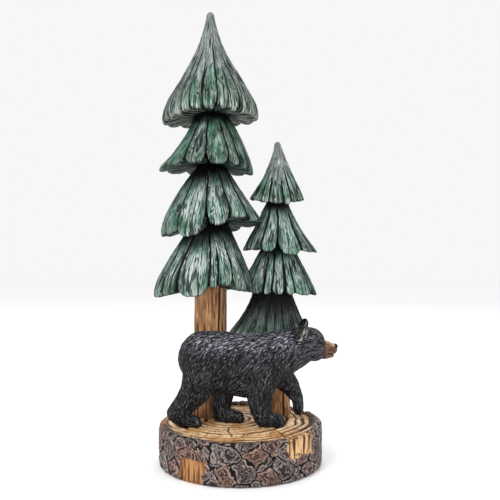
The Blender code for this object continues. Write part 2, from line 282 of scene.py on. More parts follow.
# %% [markdown]
# ## Carving with Geometry Nodes
#
# Every surface here is a plain form with something cut into it that follows a rule: bark splits into
# plates, a sawn face shows rings, wood has grain, boughs have needles. Such a rule could be sculpted
# stroke by stroke, but a node tree says it once. `carve` builds a tree around a rule, gives it named
# sizes, moves the points of the mesh, and then keeps only the plain mesh that comes out.

# %% Carving with Geometry Nodes
def carve(piece, title, sizes, material, rule):
    """Runs a tree that displaces a piece by a rule, and keeps the plain mesh that it gives."""
    tree = bpy.data.node_groups.new(title, "GeometryNodeTree")
    tree.interface.new_socket("Geometry", in_out="INPUT", socket_type="NodeSocketGeometry")
    sockets = {
        size: tree.interface.new_socket(size, in_out="INPUT", socket_type="NodeSocketFloat")
        for size in sizes
    }
    tree.interface.new_socket("Geometry", in_out="OUTPUT", socket_type="NodeSocketGeometry")
    bench = Bench(tree)
    entry = tree.nodes.new("NodeGroupInput")
    leave = tree.nodes.new("NodeGroupOutput")
    values = {size: Wire(bench, entry.outputs[size]) for size in sizes}
    shaped = rule(bench, Wire(bench, entry.outputs["Geometry"]), values)
    shaped = bench.node("GeometryNodeRealizeInstances", None, [shaped])
    shaped = bench.node("GeometryNodeSetMaterial", None, {"Geometry": shaped, "Material": material})
    tree.links.new(shaped.socket, leave.inputs[0])
    step = piece.modifiers.new(title, "NODES")
    step.node_group = tree
    for size, value in sizes.items():
        step[sockets[size].identifier] = value
    graph = bpy.context.evaluated_depsgraph_get()
    plain = bpy.data.meshes.new_from_object(
        piece.evaluated_get(graph), preserve_all_data_layers=True, depsgraph=graph
    )
    piece.modifiers.clear()
    rough = piece.data
    piece.data = plain
    bpy.data.meshes.remove(rough)
    plain.shade_smooth()


def known(bench, layer, kind="FLOAT"):
    """Reads a layer of the mesh inside a carving tree."""
    return bench.node("GeometryNodeInputNamedAttribute", {"data_type": kind}, {"Name": layer}, "Attribute")


def lift(bench, shape, height):
    """Moves the surface along its own normal."""
    normal = bench.node("GeometryNodeInputNormal")
    return bench.node("GeometryNodeSetPosition", None, {"Geometry": shape, "Offset": normal.scaled(height)})


def note(bench, shape, layer, value):
    """Stores a value on every point, for the paint to read."""
    settings = {"data_type": "FLOAT", "domain": "POINT"}
    return bench.node(
        "GeometryNodeStoreNamedAttribute", settings, {"Geometry": shape, "Name": layer, "Value": value}
    )


def settle(piece):
    """Says that a piece rides with the casting and stands for the solid, and prints its triangles and size.
    """
    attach(piece, "root")
    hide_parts(STATUE)
    count = sum(len(p.vertices) - 2 for p in piece.data.polygons)
    low = [min(v.co[k] for v in piece.data.vertices) * 1000 for k in range(3)]
    high = [max(v.co[k] for v in piece.data.vertices) * 1000 for k in range(3)]
    print(piece.name, count, "triangles, mm", [round(v, 1) for v in low], [round(v, 1) for v in high])


print("carving helpers ready")

# %% [markdown]
# ## Paint
#
# The real paint goes on in layers, so each material is built the same way. A base colour varies in soft
# patches. A dark wash sits where the carving says the surface is cut. A pale dry brush sits on the
# ridges, broken up by a fine noise, because a nearly dry brush skips. Colours are written as they look on
# screen, and turned into the linear values that a shader needs.

# %% Paint
def seen(red, green, blue):
    """A colour as it looks on screen, 0 to 255, turned into linear light."""
    return tuple(
        (c / 255 / 12.92) if c <= 10 else (((c / 255 + 0.055) / 1.055) ** 2.4) for c in (red, green, blue)
    )


def layered(name, roughness, coats, coat=0.0, shine=0.2):
    """A material whose colour, roughness and fine relief come from a recipe of coats of paint."""
    material = bpy.data.materials.new(name)
    material.use_nodes = True
    bench = Bench(material.node_tree)
    shader = material.node_tree.nodes["Principled BSDF"]
    shader.inputs["Roughness"].default_value = roughness
    shader.inputs["Specular IOR Level"].default_value = shine
    shader.inputs["Coat Weight"].default_value = coat
    place = bench.node("ShaderNodeTexCoord", None, None, "Object")
    color, gloss, relief = coats(bench, place)
    bench.feed(shader.inputs["Base Color"], color)
    bench.feed(shader.inputs["Roughness"], gloss)
    if relief is not None:
        sockets = {"Strength": 0.7, "Distance": 0.0004, "Height": relief}
        bump = bench.node("ShaderNodeBump", None, sockets, "Normal")
        bench.feed(shader.inputs["Normal"], bump)
    return material


def layer(bench, name, out="Fac"):
    """Reads a stored layer inside a material."""
    return bench.node("ShaderNodeAttribute", {"attribute_name": name}, None, out)


print("paint helpers ready")

# %% [markdown]
# ## Paint for the log
#
# The painter gave the bark a grey-brown base, black gaps and pale edges to its plates, and left warm raw
# wood where the bark is gone. The sawn top is a golden stain with dark rings. Both recipes read what the
# carving stored, so that paint and relief can't drift apart.

# %% Paint for the log
def bark_coats(bench, place):
    patches = bench.noise(place, 90.0, 3.0)
    speckle = bench.noise(place, 1000.0, 3.0, 0.6)
    tint, edge, line, bare, fresh = (layer(bench, n) for n in ("tint", "edge", "line", "bare", "fresh"))
    brown = bench.mix(tint.between(0.45, 0.95), seen(40, 32, 30), seen(72, 45, 39))
    brown = bench.mix(patches.between(0.4, 0.65) * 0.5, brown, seen(66, 58, 56))
    dark = bench.mix(speckle.between(0.48, 0.36) * 0.7, brown, seen(30, 24, 22))
    pale = bench.mix(tint.between(0.5, 0.9), seen(154, 140, 136), seen(164, 132, 120))
    rimmed = bench.mix(line * speckle.between(0.30, 0.52), dark, pale)
    gaps = bench.mix(edge.between(0.55, 0.98), seen(9, 7, 7), rimmed)
    grain = bench.noise(place.scaled((1.0, 1.0, 0.09)), 620.0, 3.0)
    wood = bench.mix(grain.between(0.38, 0.60), seen(72, 42, 24), seen(182, 130, 82))
    orange = bench.mix(patches.between(0.45, 0.7) * 0.5 * (1 - fresh), wood, seen(150, 84, 44))
    orange = bench.mix(fresh * grain.between(0.44, 0.56) * 0.8, orange, seen(226, 186, 134))
    return bench.mix(bare, gaps, orange), 0.62 - line * 0.12, speckle + grain * bare


def sawn_coats(bench, place):
    ring, crack, rim, glow, late = (layer(bench, n) for n in ("ring", "crack", "rim", "glow", "late"))
    fibre = bench.noise(place, 620.0, 4.0, 0.6)
    stain = bench.noise(place, 80.0, 4.0).between(0.38, 0.62)
    gold = bench.mix(stain, seen(202, 154, 102), seen(158, 108, 64))
    light = bench.mix(late * fibre.between(0.36, 0.54), gold, seen(244, 222, 182))
    cloud = bench.noise(place, 260.0, 2.0)
    browned = bench.mix(cloud.between(0.46, 0.34) * 0.5, light, seen(120, 78, 44))
    dirt = bench.mix(ring.between(0.10, 0.75), browned, seen(44, 25, 14))
    edged = bench.mix(rim * 0.7, dirt, seen(96, 62, 38))
    glowing = bench.mix(glow * 0.25, edged, seen(214, 160, 100))
    return bench.mix(crack, glowing, seen(26, 15, 9)), 0.5 + ring * 0.1, fibre


BARK = layered("bark_brown", 0.6, bark_coats)
SAWN = layered("sawn_wood", 0.55, sawn_coats)
print("paints:", BARK.name, SAWN.name)

# %% [markdown]
# ## The slice of log
#
# The log is a short round of wood. Its side is bark that has split into rounded plates; each has a pale
# edge and fainter lines inside it, like contour lines round a pond. Three patches have lost their bark:
# one low at the left front, one from the top edge at the right, and a small one on the lip at the left. A
# Voronoi pattern gives the plates, because it is what grows when centres share out the space between
# them. Its distance to the nearest border is all the carving needs: deep at the border, a rim beside it,
# ripples further in.

# %% The slice of log: bark
MM = 0.001
FULL_TURN = 6.2832
LOG_TOP = 28.0 * MM
LIP_RISE = (1.5 * MM, 3.0 * MM, 1.5 * MM, 0.2 * MM)
# Radius, height and share of the lip's rise, in mm, from the inside of the lip down to the underside.
LOG_SECTION = (
    (52.3, 25.0, 0.0), (52.8, 27.4, 0.0), (53.3, 28.0, 0.7), (54.6, 28.0, 1.0), (56.6, 28.0, 1.0),
    (58.0, 27.5, 0.9), (58.7, 26.4, 0.7), (58.7, 14.0, 0.0), (58.7, 2.0, 0.0), (58.1, 0.6, 0.0),
    (56.9, 0.0, 0.0),
)
BARK_STEP = 0.58
BARK_TURNS = 640
# Patches without bark: middle angle, half width in degrees, middle height, half height in mm.
BARE_PATCHES = ((236.5, 10.5, 5.0, 10.0), (316.0, 12.5, 24.0, 8.0), (176.0, 13.0, 30.5, 2.6))


def spaced(section, step):
    """Points at even spacing along a section."""
    points = np.array(section)
    run = np.concatenate([[0], np.cumsum(np.hypot(*np.diff(points[:, :2], axis=0).T))])
    even = np.linspace(0, run[-1], int(run[-1] / step) + 1)
    return np.stack([np.interp(even, run, points[:, k]) for k in range(points.shape[1])], axis=1)


section = spaced(LOG_SECTION, BARK_STEP)
turns = np.arange(BARK_TURNS) / BARK_TURNS
degrees = turns * 360
rough_edge = wavy(7, 60, 12)
radius = section[:, 0:1] * MM * np.ones_like(degrees)
rise = around(degrees, LIP_RISE)
height = section[:, 1:2] * MM + section[:, 2:3] * rise
height += section[:, 2:3] * rough_edge(turns, 3.0)[None, :] * 0.5 * MM * (rise > 0.5 * MM)
bare = np.zeros_like(radius)
ragged = rough_edge(turns[None, :], height / MM / 3.0)
for angle, half_width, level, half_height in BARE_PATCHES:
    across = (degrees[None, :] - angle) / half_width
    along = (height / MM - level) / half_height
    bare = np.maximum(bare, 1 - smoothstep(0.85, 1.05, np.maximum(abs(across), abs(along)) + 0.22 * ragged))
outside = smoothstep(52.9, 54.2, section[:, 0:1]) * smoothstep(56.8, 58.2, section[:, 0:1] + section[:, 1:2])
grid = np.stack([radius * np.cos(np.radians(degrees)), radius * np.sin(np.radians(degrees)), height], axis=-1)
bark = skin(
    "log_bark", grid, (0, 0, section[0, 1] * MM), (0, 0, 0),
    {"bare": bare, "outside": outside * np.ones_like(bare),
     "fresh": smoothstep(270, 290, degrees)[None, :] * np.ones_like(bare)},
)
print("bark points:", radius.size)

# %% [markdown]
# ## Bark plates
#
# The carver cut the gaps between plates with a gouge and then ran finer lines round inside each plate.
# The rule does both from the one distance, and stores gap, line and a tint for each plate, which the
# paint needs. Where the bark is gone, it sinks the wood a little and gives it upright grain instead.

# %% Bark plates
def bark_rule(bench, shape, size):
    place = bench.node("GeometryNodeInputPosition")
    bend = bench.noise(place, 150.0, 2.0, out="Color").shifted((-0.5, -0.5, -0.5)).scaled(size["Bend"])
    cells = {"Vector": place.shifted(bend), "Scale": 1.0 / size["Plate Width"], "Randomness": 0.82}
    border = bench.node("ShaderNodeTexVoronoi", {"feature": "DISTANCE_TO_EDGE"}, cells, "Distance")
    tint = bench.node("ShaderNodeTexVoronoi", {"feature": "F1"}, cells, "Color")
    bare, outside = known(bench, "bare"), known(bench, "outside")
    inside = border * size["Plate Width"]
    plate = inside.between(size["Gap"] * 0.15, size["Gap"] * 1.1)
    drift = (bench.noise(place, 150.0, 1.0) - 0.5) * size["Drift"]
    ripple = 0 - ((inside + drift) * (FULL_TURN / size["Ripple"])).sum_with("COSINE")
    fading = 1 - inside.between(2 * MM, 8 * MM) * 0.7
    crumb = bench.noise(place, 620.0, 2.0) - 0.5
    swell = inside.between(0.0, 3 * MM) * 0.5
    relief = (ripple * fading * 0.24 + crumb * 0.6 + swell - 0.5) * MM
    barked = (plate - 1) * size["Depth"] + relief * plate
    grain = bench.noise(place.scaled((1.0, 1.0, 0.1)), 650.0, 2.0) - 0.5
    stripped = grain * size["Grain"] - size["Depth"] * 0.8
    height = (barked * (1 - bare) + stripped * bare) * outside
    shape = lift(bench, shape, height)
    shape = note(bench, shape, "edge", plate)
    begins = inside.between(size["Gap"] * 0.6, size["Gap"])
    outline = begins * inside.between(size["Gap"] * 2.0, size["Gap"] * 1.3)
    contour = ripple.between(0.30, 0.95) * plate * (fading * 0.8 + 0.2)
    shape = note(bench, shape, "line", contour.sum_with("MAXIMUM", outline))
    return note(bench, shape, "tint", tint)


BARK_SIZES = {
    "Plate Width": 13.0 * MM, "Gap": 0.8 * MM, "Ripple": 1.5 * MM, "Depth": 1.4 * MM,
    "Bend": 7.5 * MM, "Drift": 1.6 * MM, "Grain": 0.6 * MM,
}
carve(bark, "bark_plates", BARK_SIZES, BARK, bark_rule)
settle(bark)

# %% [markdown]
# ## The sawn top
#
# The top shows growth rings cut as shallow grooves, closer in some years than in others, and a few splits
# that run out from the pith. A disc of rings of points follows the grooves better than a square grid
# would. Where each split lies is a line on the disc, and the wood opens along it.

# %% The sawn top
PITH = (-6.0 * MM, 9.0 * MM)
# Splits: start, end and width, in mm.
SPLITS = (
    ((-8.5, -16.7), (-5.8, -38.0), 0.9), ((24.2, -22.1), (33.0, -45.5), 0.9),
    ((-20.0, -28.0), (-27.0, -44.0), 0.6), ((2.0, -30.0), (2.5, -41.0), 0.5),
    ((44.0, 3.0), (51.0, 4.0), 0.7), ((12.0, 34.0), (16.0, 50.0), 0.8),
    ((-46.0, 10.0), (-34.0, 6.0), 0.6), ((-2.0, 30.0), (-8.0, 48.0), 0.6),
)
TOP_SECTION = ((1.0, 28.0), (52.4, 28.0), (53.6, 27.8), (53.6, 25.6))
TOP_STEP = 0.6
TOP_TURNS = 420
section = spaced(TOP_SECTION, TOP_STEP)
angle = np.arange(TOP_TURNS) / TOP_TURNS * 2 * np.pi
radius = section[:, 0:1] * MM * np.ones_like(angle)
height = section[:, 1:2] * MM * np.ones_like(angle)
x, y = radius * np.cos(angle), radius * np.sin(angle)
crack = np.zeros_like(x)
for start, end, width in SPLITS:
    start, end = np.array(start) * MM, np.array(end) * MM
    line = end - start
    share = ((x - start[0]) * line[0] + (y - start[1]) * line[1]) / (line @ line)
    inside = np.clip(share, 0, 1)
    bow = 0.6 * MM * np.sin(share * 7 + start[0] * 900)
    gap = np.hypot(x - start[0] - inside * line[0] + bow, y - start[1] - inside * line[1])
    crack = np.maximum(crack, 1 - smoothstep(0.15, 1.0, gap / (width * MM)))
flat = (section[:, 0:1] < 52.0) * np.ones_like(x)
rim = smoothstep(51.0, 53.6, section[:, 0:1]) * np.ones_like(x)
glow = np.exp(-(((x - 34 * MM) / (16 * MM)) ** 2) - ((y + 34 * MM) / (12 * MM)) ** 2)
grid = np.stack([x, y, height - crack * 0.9 * MM * flat], axis=-1)
top = skin(
    "log_sawn_top", grid, (0, 0, LOG_TOP), (0, 0, 25.6 * MM),
    {"crack": crack * flat, "flat": flat, "rim": rim, "glow": glow},
)


def ring_rule(bench, shape, size):
    place = bench.node("GeometryNodeInputPosition")
    level = place.scaled((1.0, 1.0, 0.0)).shifted((-PITH[0], -PITH[1], 0.0))
    wobble = (bench.noise(level, 36.0, 3.0) - 0.5) * size["Wobble"]
    out = bench.node("ShaderNodeVectorMath", {"operation": "LENGTH"}, [level], "Value") + wobble
    years = bench.node("ShaderNodeTexNoise", {"noise_dimensions": "1D"}, {"W": out, "Scale": 120.0}, "Fac")
    wave = ((out / size["Ring Width"] + years * 1.3) * FULL_TURN).sum_with("COSINE")
    patchy = bench.noise(level.shifted((0.2, 0.1, 0.0)), 60.0, 2.0)
    groove = wave.between(0.30, 0.80) * (patchy.between(0.32, 0.44) * 0.6 + 0.4)
    late = (0 - wave).between(-0.3, 0.7) * patchy.between(0.36, 0.56)
    fibre = bench.noise(place, 500.0, 3.0) - 0.5
    flat = known(bench, "flat")
    shape = lift(bench, shape, (fibre * size["Fibre"] - groove * size["Ring Depth"]) * flat)
    shape = note(bench, shape, "late", late * flat)
    return note(bench, shape, "ring", groove)


RING_SIZES = {"Ring Width": 5.6 * MM, "Ring Depth": 1.2 * MM, "Wobble": 8.0 * MM, "Fibre": 0.4 * MM}
carve(top, "growth_rings", RING_SIZES, SAWN, ring_rule)
settle(top)

# %% [markdown]
# ## Trunks
#
# Each pine stands on a short bare trunk with a flared foot. Long grooves run down it, wandering a little,
# and finer grain lies between them. The grooves are set out in Python because there are few of them; the
# grain is noise squeezed along the height, which Geometry Nodes carves.

# %% Trunks
TALL_PLACE = (-23.2 * MM, 24.0 * MM)
SHORT_PLACE = (28.0 * MM, 28.0 * MM)
TALL_HEIGHT = 305.8 * MM
SHORT_HEIGHT = 207.8 * MM
SINK = 1.0 * MM


def trunk_coats(bench, place):
    grain = bench.noise(place.scaled((1.0, 1.0, 0.10)), 800.0, 4.0, 0.6)
    blotch = bench.noise(place.scaled((1.0, 1.0, 0.35)), 130.0, 2.0)
    cut, foot = layer(bench, "cut"), layer(bench, "foot")
    wood = bench.mix(blotch.between(0.35, 0.65), seen(154, 106, 70), seen(190, 142, 98))
    streaked = bench.mix(grain.between(0.50, 0.38) * 0.8, wood, seen(76, 46, 28))
    pale = bench.mix(grain.between(0.56, 0.66) * 0.7, streaked, seen(216, 176, 130))
    washed = bench.mix(cut.between(0.15, 0.7), pale, seen(44, 26, 16))
    return bench.mix(foot * 0.5, washed, seen(80, 52, 32)), 0.5 + grain * 0.15, grain


TRUNK = layered("trunk_wood", 0.55, trunk_coats)
TRUNK_ROWS, TRUNK_TURNS = 62, 168
TRUNK_GROOVES = 11


def trunk(name, place, diameter, top, seed):
    """A grooved round trunk whose foot spreads onto the log."""
    turns = np.arange(TRUNK_TURNS)[None, :] / TRUNK_TURNS
    level = np.linspace(0, 1, TRUNK_ROWS)[:, None]
    foot = LOG_TOP - SINK
    z = top + (foot - top) * level
    spread = 2.2 * MM * np.interp(1 - level, (0, 0.1, 0.3, 1), (1, 0.45, 0.1, 0))
    wander = wavy(seed, 12)
    dice = np.random.default_rng(seed)
    cut = np.zeros((TRUNK_ROWS, TRUNK_TURNS))
    for _ in range(TRUNK_GROOVES):
        middle, width, start = dice.uniform(0, 1), dice.uniform(0.006, 0.013), dice.uniform(-0.3, 0.5)
        bend = 0.014 * np.sin(level * dice.uniform(3, 7) + dice.uniform(0, 6))
        off = np.mod(turns - middle - bend + 0.5, 1.0) - 0.5
        cut = np.maximum(cut, np.exp(-((off / width) ** 2)) * smoothstep(start, start + 0.15, level))
    radius = diameter / 2 + spread - 0.25 * MM + wander(turns, level * 5) * 0.35 * MM - cut * 0.8 * MM
    angle = turns * 2 * np.pi
    x, y = place[0] + radius * np.cos(angle), place[1] + radius * np.sin(angle)
    grid = np.stack([x, y, z * np.ones_like(radius)], axis=-1)
    nearly = smoothstep(0.90, 1.0, level) * np.ones_like(cut)
    piece = skin(name, grid, (*place, top), (*place, foot), {"cut": cut, "foot": nearly})

    def grain_rule(bench, shape, size):
        spot = bench.node("GeometryNodeInputPosition").scaled((1.0, 1.0, 0.12))
        return lift(bench, shape, (bench.noise(spot, 600.0, 2.0) - 0.55) * size["Grain Depth"])

    carve(piece, name + "_grain", {"Grain Depth": 1.1 * MM}, TRUNK, grain_rule)
    settle(piece)


# Diameter, height of the hidden upper end, and seed. The end is a share of the pine's height above the log.
trunk("tall_trunk", TALL_PLACE, 24.8 * MM, LOG_TOP + 0.338 * TALL_HEIGHT, 31)
trunk("short_trunk", SHORT_PLACE, 18.0 * MM, LOG_TOP + 0.318 * SHORT_HEIGHT, 32)

# %% [markdown]
# ## Boughs: the shape of a tier
#
# Each pine is a stack of bells. A bell runs from a narrow neck to a wide rim, and its flank swells or
# hollows. Four values round the compass are too few for a carver's work, so each tier also lists where
# its fronds part, seen from the front, how far each frond's tip hangs below or above the rim, and where a
# deep notch opens. Heights and radii are shares of the pine's height, so that one number makes a taller
# pine.

# %% Boughs: the tables
# Four values run right, back, left and front. Angles are degrees from the right, and 270 faces the front.
TALL_TIERS = (
    {
        "top": 1.0,
        "neck": (0.010, 0.010, 0.010, 0.010),
        "reach": (0.118, 0.115, 0.118, 0.115),
        "rim": (0.728, 0.725, 0.716, 0.742),
        "bulge": (-0.58, -0.55, -0.55, -0.50),
        "shoulder": (2.4, 2.4, 2.4, 2.4),
        "edges": (197, 217, 234, 246, 262, 281, 295, 310, 325, 345),
        "tips": (0, 0, 0, -0.002, 0, 0.002, 0, 0, 0),
        "notches": {234: 0.010, 281: 0.010},
        "paint": {
            "silver": 0.9, "sides": 0.75, "brush_and_sheen": 0.26, "gloom": 0.0, "curl": 3.4 * MM, "groove": 0.62,
        },
    },
    {
        "top": 0.7466,
        "neck": (0.038, 0.038, 0.037, 0.038),
        "reach": (0.110, 0.124, 0.134, 0.124),
        "rim": (0.594, 0.602, 0.603, 0.611),
        "bulge": (0.55, 0.10, -0.55, 0.20),
        "shoulder": (0.2, 0.4, 0, 0.6),
        "edges": (190, 212, 243, 267, 296, 312, 330),
        "tips": (0, 0.001, 0.002, 0, 0.004, 0.002),
        "notches": {243: 0.010, 267: 0.018, 296: 0.010},
        "paint": {"silver": 0.0, "brush_and_sheen": 0.20, "gloom": 0.22, "curl": 2.8 * MM},
    },
    {
        "top": 0.619,
        "neck": (0.035, 0.032, 0.029, 0.032),
        "reach": (0.134, 0.121, 0.123, 0.121),
        "rim": (0.474, 0.450, 0.439, 0.456),
        "bulge": (-0.05, 0.30, 0.70, 0.50),
        "shoulder": (0, 0.4, 0.6, 0.6),
        "edges": (205, 229, 268, 295, 320, 342),
        "tips": (0, -0.014, 0.010, 0.022, 0.008),
        "notches": {229: 0.006, 268: 0.052, 295: 0.016},
        "paint": {"silver": 0.0, "brush_and_sheen": 0.85, "gloom": 0.28, "curl": 1.8 * MM},
    },
    {
        "top": 0.4715,
        "neck": (0.044, 0.045, 0.046, 0.045),
        "reach": (0.118, 0.131, 0.142, 0.132),
        "rim": (0.309, 0.300, 0.290, 0.302),
        "bulge": (0.10, 0.30, 0.45, 0.50),
        "shoulder": (0, 0.4, 0.9, 0.8),
        "edges": (195, 214, 234, 272, 281, 298, 322, 351),
        "tips": (0, 0.004, -0.003, 0.016, 0.020, 0.006, -0.003),
        "notches": {234: 0.008, 272: 0.012, 298: 0.026},
        "paint": {"silver": 0.0, "brush_and_sheen": 0.80, "gloom": 0.30, "curl": 1.6 * MM},
    },
)
SHORT_TIERS = (
    {
        "top": 1.0,
        "neck": (0.0125, 0.0125, 0.0125, 0.0125),
        "reach": (0.105, 0.096, 0.109, 0.096),
        "rim": (0.782, 0.777, 0.786, 0.764),
        "bulge": (-0.25, -0.40, -0.80, -0.40),
        "shoulder": (0.3, 0.5, 0.3, 0.8),
        "edges": (205, 229, 248, 282, 301, 316, 338),
        "tips": (0, 0, 0, -0.004, 0, 0),
        "notches": {},
        "paint": {"silver": 0.8, "brush_and_sheen": 0.32, "gloom": 0.0, "curl": 1.5 * MM, "groove": 0.8},
    },
    {
        "top": 0.789,
        "neck": (0.033, 0.034, 0.034, 0.034),
        "reach": (0.149, 0.130, 0.132, 0.130),
        "rim": (0.590, 0.600, 0.597, 0.606),
        "bulge": (-0.40, -0.10, -0.10, 0),
        "shoulder": (0.2, 0.2, 0.4, 0.4),
        "edges": (212, 238, 268, 312, 335),
        "tips": (0, -0.010, -0.020, -0.004),
        "notches": {238: 0.010, 268: 0.046, 312: 0.010},
        "paint": {"silver": 0.0, "brush_and_sheen": 0.65, "gloom": 0.26, "curl": 1.5 * MM},
    },
    {
        "top": 0.635,
        "neck": (0.043, 0.043, 0.043, 0.043),
        "reach": (0.147, 0.130, 0.142, 0.130),
        "rim": (0.434, 0.440, 0.450, 0.442),
        "bulge": (0.15, 0.15, 0.10, 0.15),
        "shoulder": (0.2, 0.3, 0.3, 0.4),
        "edges": (215, 242, 259, 283, 299, 333),
        "tips": (0, 0, 0, 0, 0),
        "notches": {259: 0.024, 283: 0.020},
        "paint": {"silver": 0.0, "brush_and_sheen": 0.65, "gloom": 0.26, "curl": 1.5 * MM},
    },
    {
        "top": 0.4716,
        "neck": (0.041, 0.058, 0.084, 0.058),
        "reach": (0.126, 0.140, 0.184, 0.116),
        "rim": (0.278, 0.285, 0.296, 0.272),
        "bulge": (-0.20, 0, -0.60, -0.10),
        "shoulder": (0, 0, 0, 0),
        "edges": (200, 225, 245, 262, 280, 298, 320),
        "tips": (0, 0, 0, 0, 0, 0),
        "notches": {},
        "paint": {
            "silver": 0.5, "sides": 0.9, "brush_and_sheen": 0.35, "gloom": 0.75, "curl": 1.5 * MM, "groove": 0.45,
        },
    },
)
print(len(TALL_TIERS), "tiers on the tall pine,", len(SHORT_TIERS), "on the short one")

# %% [markdown]
# ## Boughs: fronds, grooves and curled rims
#
# A point on a tier is placed by its angle and by how far down the bell it lies. The angle says which
# frond it is on and how far across, from -1 at one groove through 0 at the crest to 1 at the next. From
# that follow the frond's rounded section, the sharp groove between fronds, and the scalloped rim. The rim
# isn't a knife edge: the corner between flank and underside is swept with a curve, so the fronds curl
# under as the carved ones do.

# %% Boughs: the shape
DEPTH_SHARE = 0.85
BACK_FROND = 32
ROOT_RISE = 0.032
HOLLOW_RISE = 0.020
SCALLOP = 0.012
FROND_GROOVE = 3.3 * MM
VEIN_DEPTH = 0.75 * MM
GROOVE_LINE = (0.35 * MM, 1.15 * MM)
CROWN = 1.3


def frond_edges(tier, seed):
    """The groove angles all round a tier: the given ones in front, then evenly spaced ones behind."""
    front = list(tier["edges"])
    gap = front[0] + 360 - front[-1]
    count = max(2, round(gap / BACK_FROND))
    spread = random.Random(seed)
    back = [front[-1] + gap * (i + spread.uniform(-0.15, 0.15)) / count for i in range(1, count)]
    return front + back


def flank(tier, degrees, t):
    """The radius of a tier at share t of the way from neck to rim, as a share of the pine's height."""
    neck, reach, bulge, shoulder = (
        around(degrees, tier[key]) for key in ("neck", "reach", "bulge", "shoulder")
    )
    return neck + (reach - neck) * (t + t * (1 - t) * (bulge + shoulder * t**3))


def split_veins(dice, frond, across, t, count):
    """A few long splits down each frond: 1 in a split and 0 beside it."""
    veins = np.zeros_like(across)
    for index in range(count):
        mine = frond == index
        for _ in range(int(dice.integers(1, 4))):
            middle = dice.uniform(-0.75, 0.75)
            begin, end = dice.uniform(0.0, 0.55), dice.uniform(0.75, 1.1)
            line = middle * (0.55 + 0.45 * t) + 0.08 * np.sin(5 * t + middle * 9)
            width = dice.uniform(0.014, 0.030)
            run = smoothstep(begin, begin + 0.15, t) * (1 - smoothstep(end, end + 0.12, t))
            veins = np.maximum(veins, mine * run * np.exp(-(((across - line) / width) ** 2)))
    return veins


print("fronds round the first tall tier:", len(frond_edges(TALL_TIERS[0], 10)))

# %% [markdown]
# ## Boughs: the curled rim
#
# A bevel would round the rim evenly, but on the carving it curls under more on some tiers than on others.
# So each column of points is cut off a little above the corner, swept round it on a curve, and then led
# along the underside to the middle. The new rings take their layers from the rim, and one layer says how
# far under the bell they lie.

# %% Boughs: the curled rim
CURL_ROWS = 8
UNDER_ROWS = 10


def curl_under(tier, radius, z, hollow, layers):
    """Rounds the corner of each column between its flank and its underside, and adds the underside."""
    steps = radius.shape[0]
    corner_r, corner_z = radius[-1], z[-1]
    slant = np.hypot(radius[-1] - radius[-2], z[-1] - z[-2])
    curl = tier["paint"]["curl"]
    back = np.clip((curl / slant.mean()).round().astype(int), 2, steps - 3)
    keep = steps - 1 - back
    from_r, from_z = radius[keep], z[keep]
    inward = np.hypot(corner_r, hollow - corner_z)
    to_r = corner_r * (1 - curl / inward)
    to_z = corner_z + (hollow - corner_z) * curl / inward
    rows_r, rows_z = [radius[: keep + 1]], [z[: keep + 1]]
    bend = np.linspace(0, 1, CURL_ROWS + 1)[1:]
    for s in bend:
        rows_r.append(((1 - s) ** 2 * from_r + 2 * s * (1 - s) * corner_r + s**2 * to_r)[None, :])
        rows_z.append(((1 - s) ** 2 * from_z + 2 * s * (1 - s) * corner_z + s**2 * to_z)[None, :])
    inner = np.linspace(0, 1, UNDER_ROWS + 2)[1:-1] ** 0.8
    for s in inner:
        rows_r.append((to_r * (1 - s))[None, :])
        rows_z.append((to_z + (hollow - to_z) * s)[None, :])
    added = CURL_ROWS + UNDER_ROWS
    result = {}
    for name, values in layers.items():
        tail = np.repeat(values[-1:], added, axis=0)
        result[name] = np.concatenate([values[: keep + 1], tail])
    under = np.concatenate([bend * 0.5, 0.5 + 0.5 * inner])
    result["under"][keep + 1 :] = under[:, None]
    return np.concatenate(rows_r), np.concatenate(rows_z), result, hollow


print("each tier gets", CURL_ROWS + UNDER_ROWS, "more rings, round the rim and beneath it")

# %% [markdown]
# ## Boughs: from fronds to a bell
#
# With the fronds known, the whole bell is a grid of points, ring by ring: a rounded crown on the first
# tier or a hidden root on the others, the flank, the curled rim, and the hollow underside that can be
# seen from below. Layers about groove, vein, edge and depth go with every ring.

# %% Boughs: from fronds to a bell
# Rings of the rounded crown of a first tier, in degrees from its tip.
CROWN_RINGS = (12, 25, 38, 51, 64, 77)


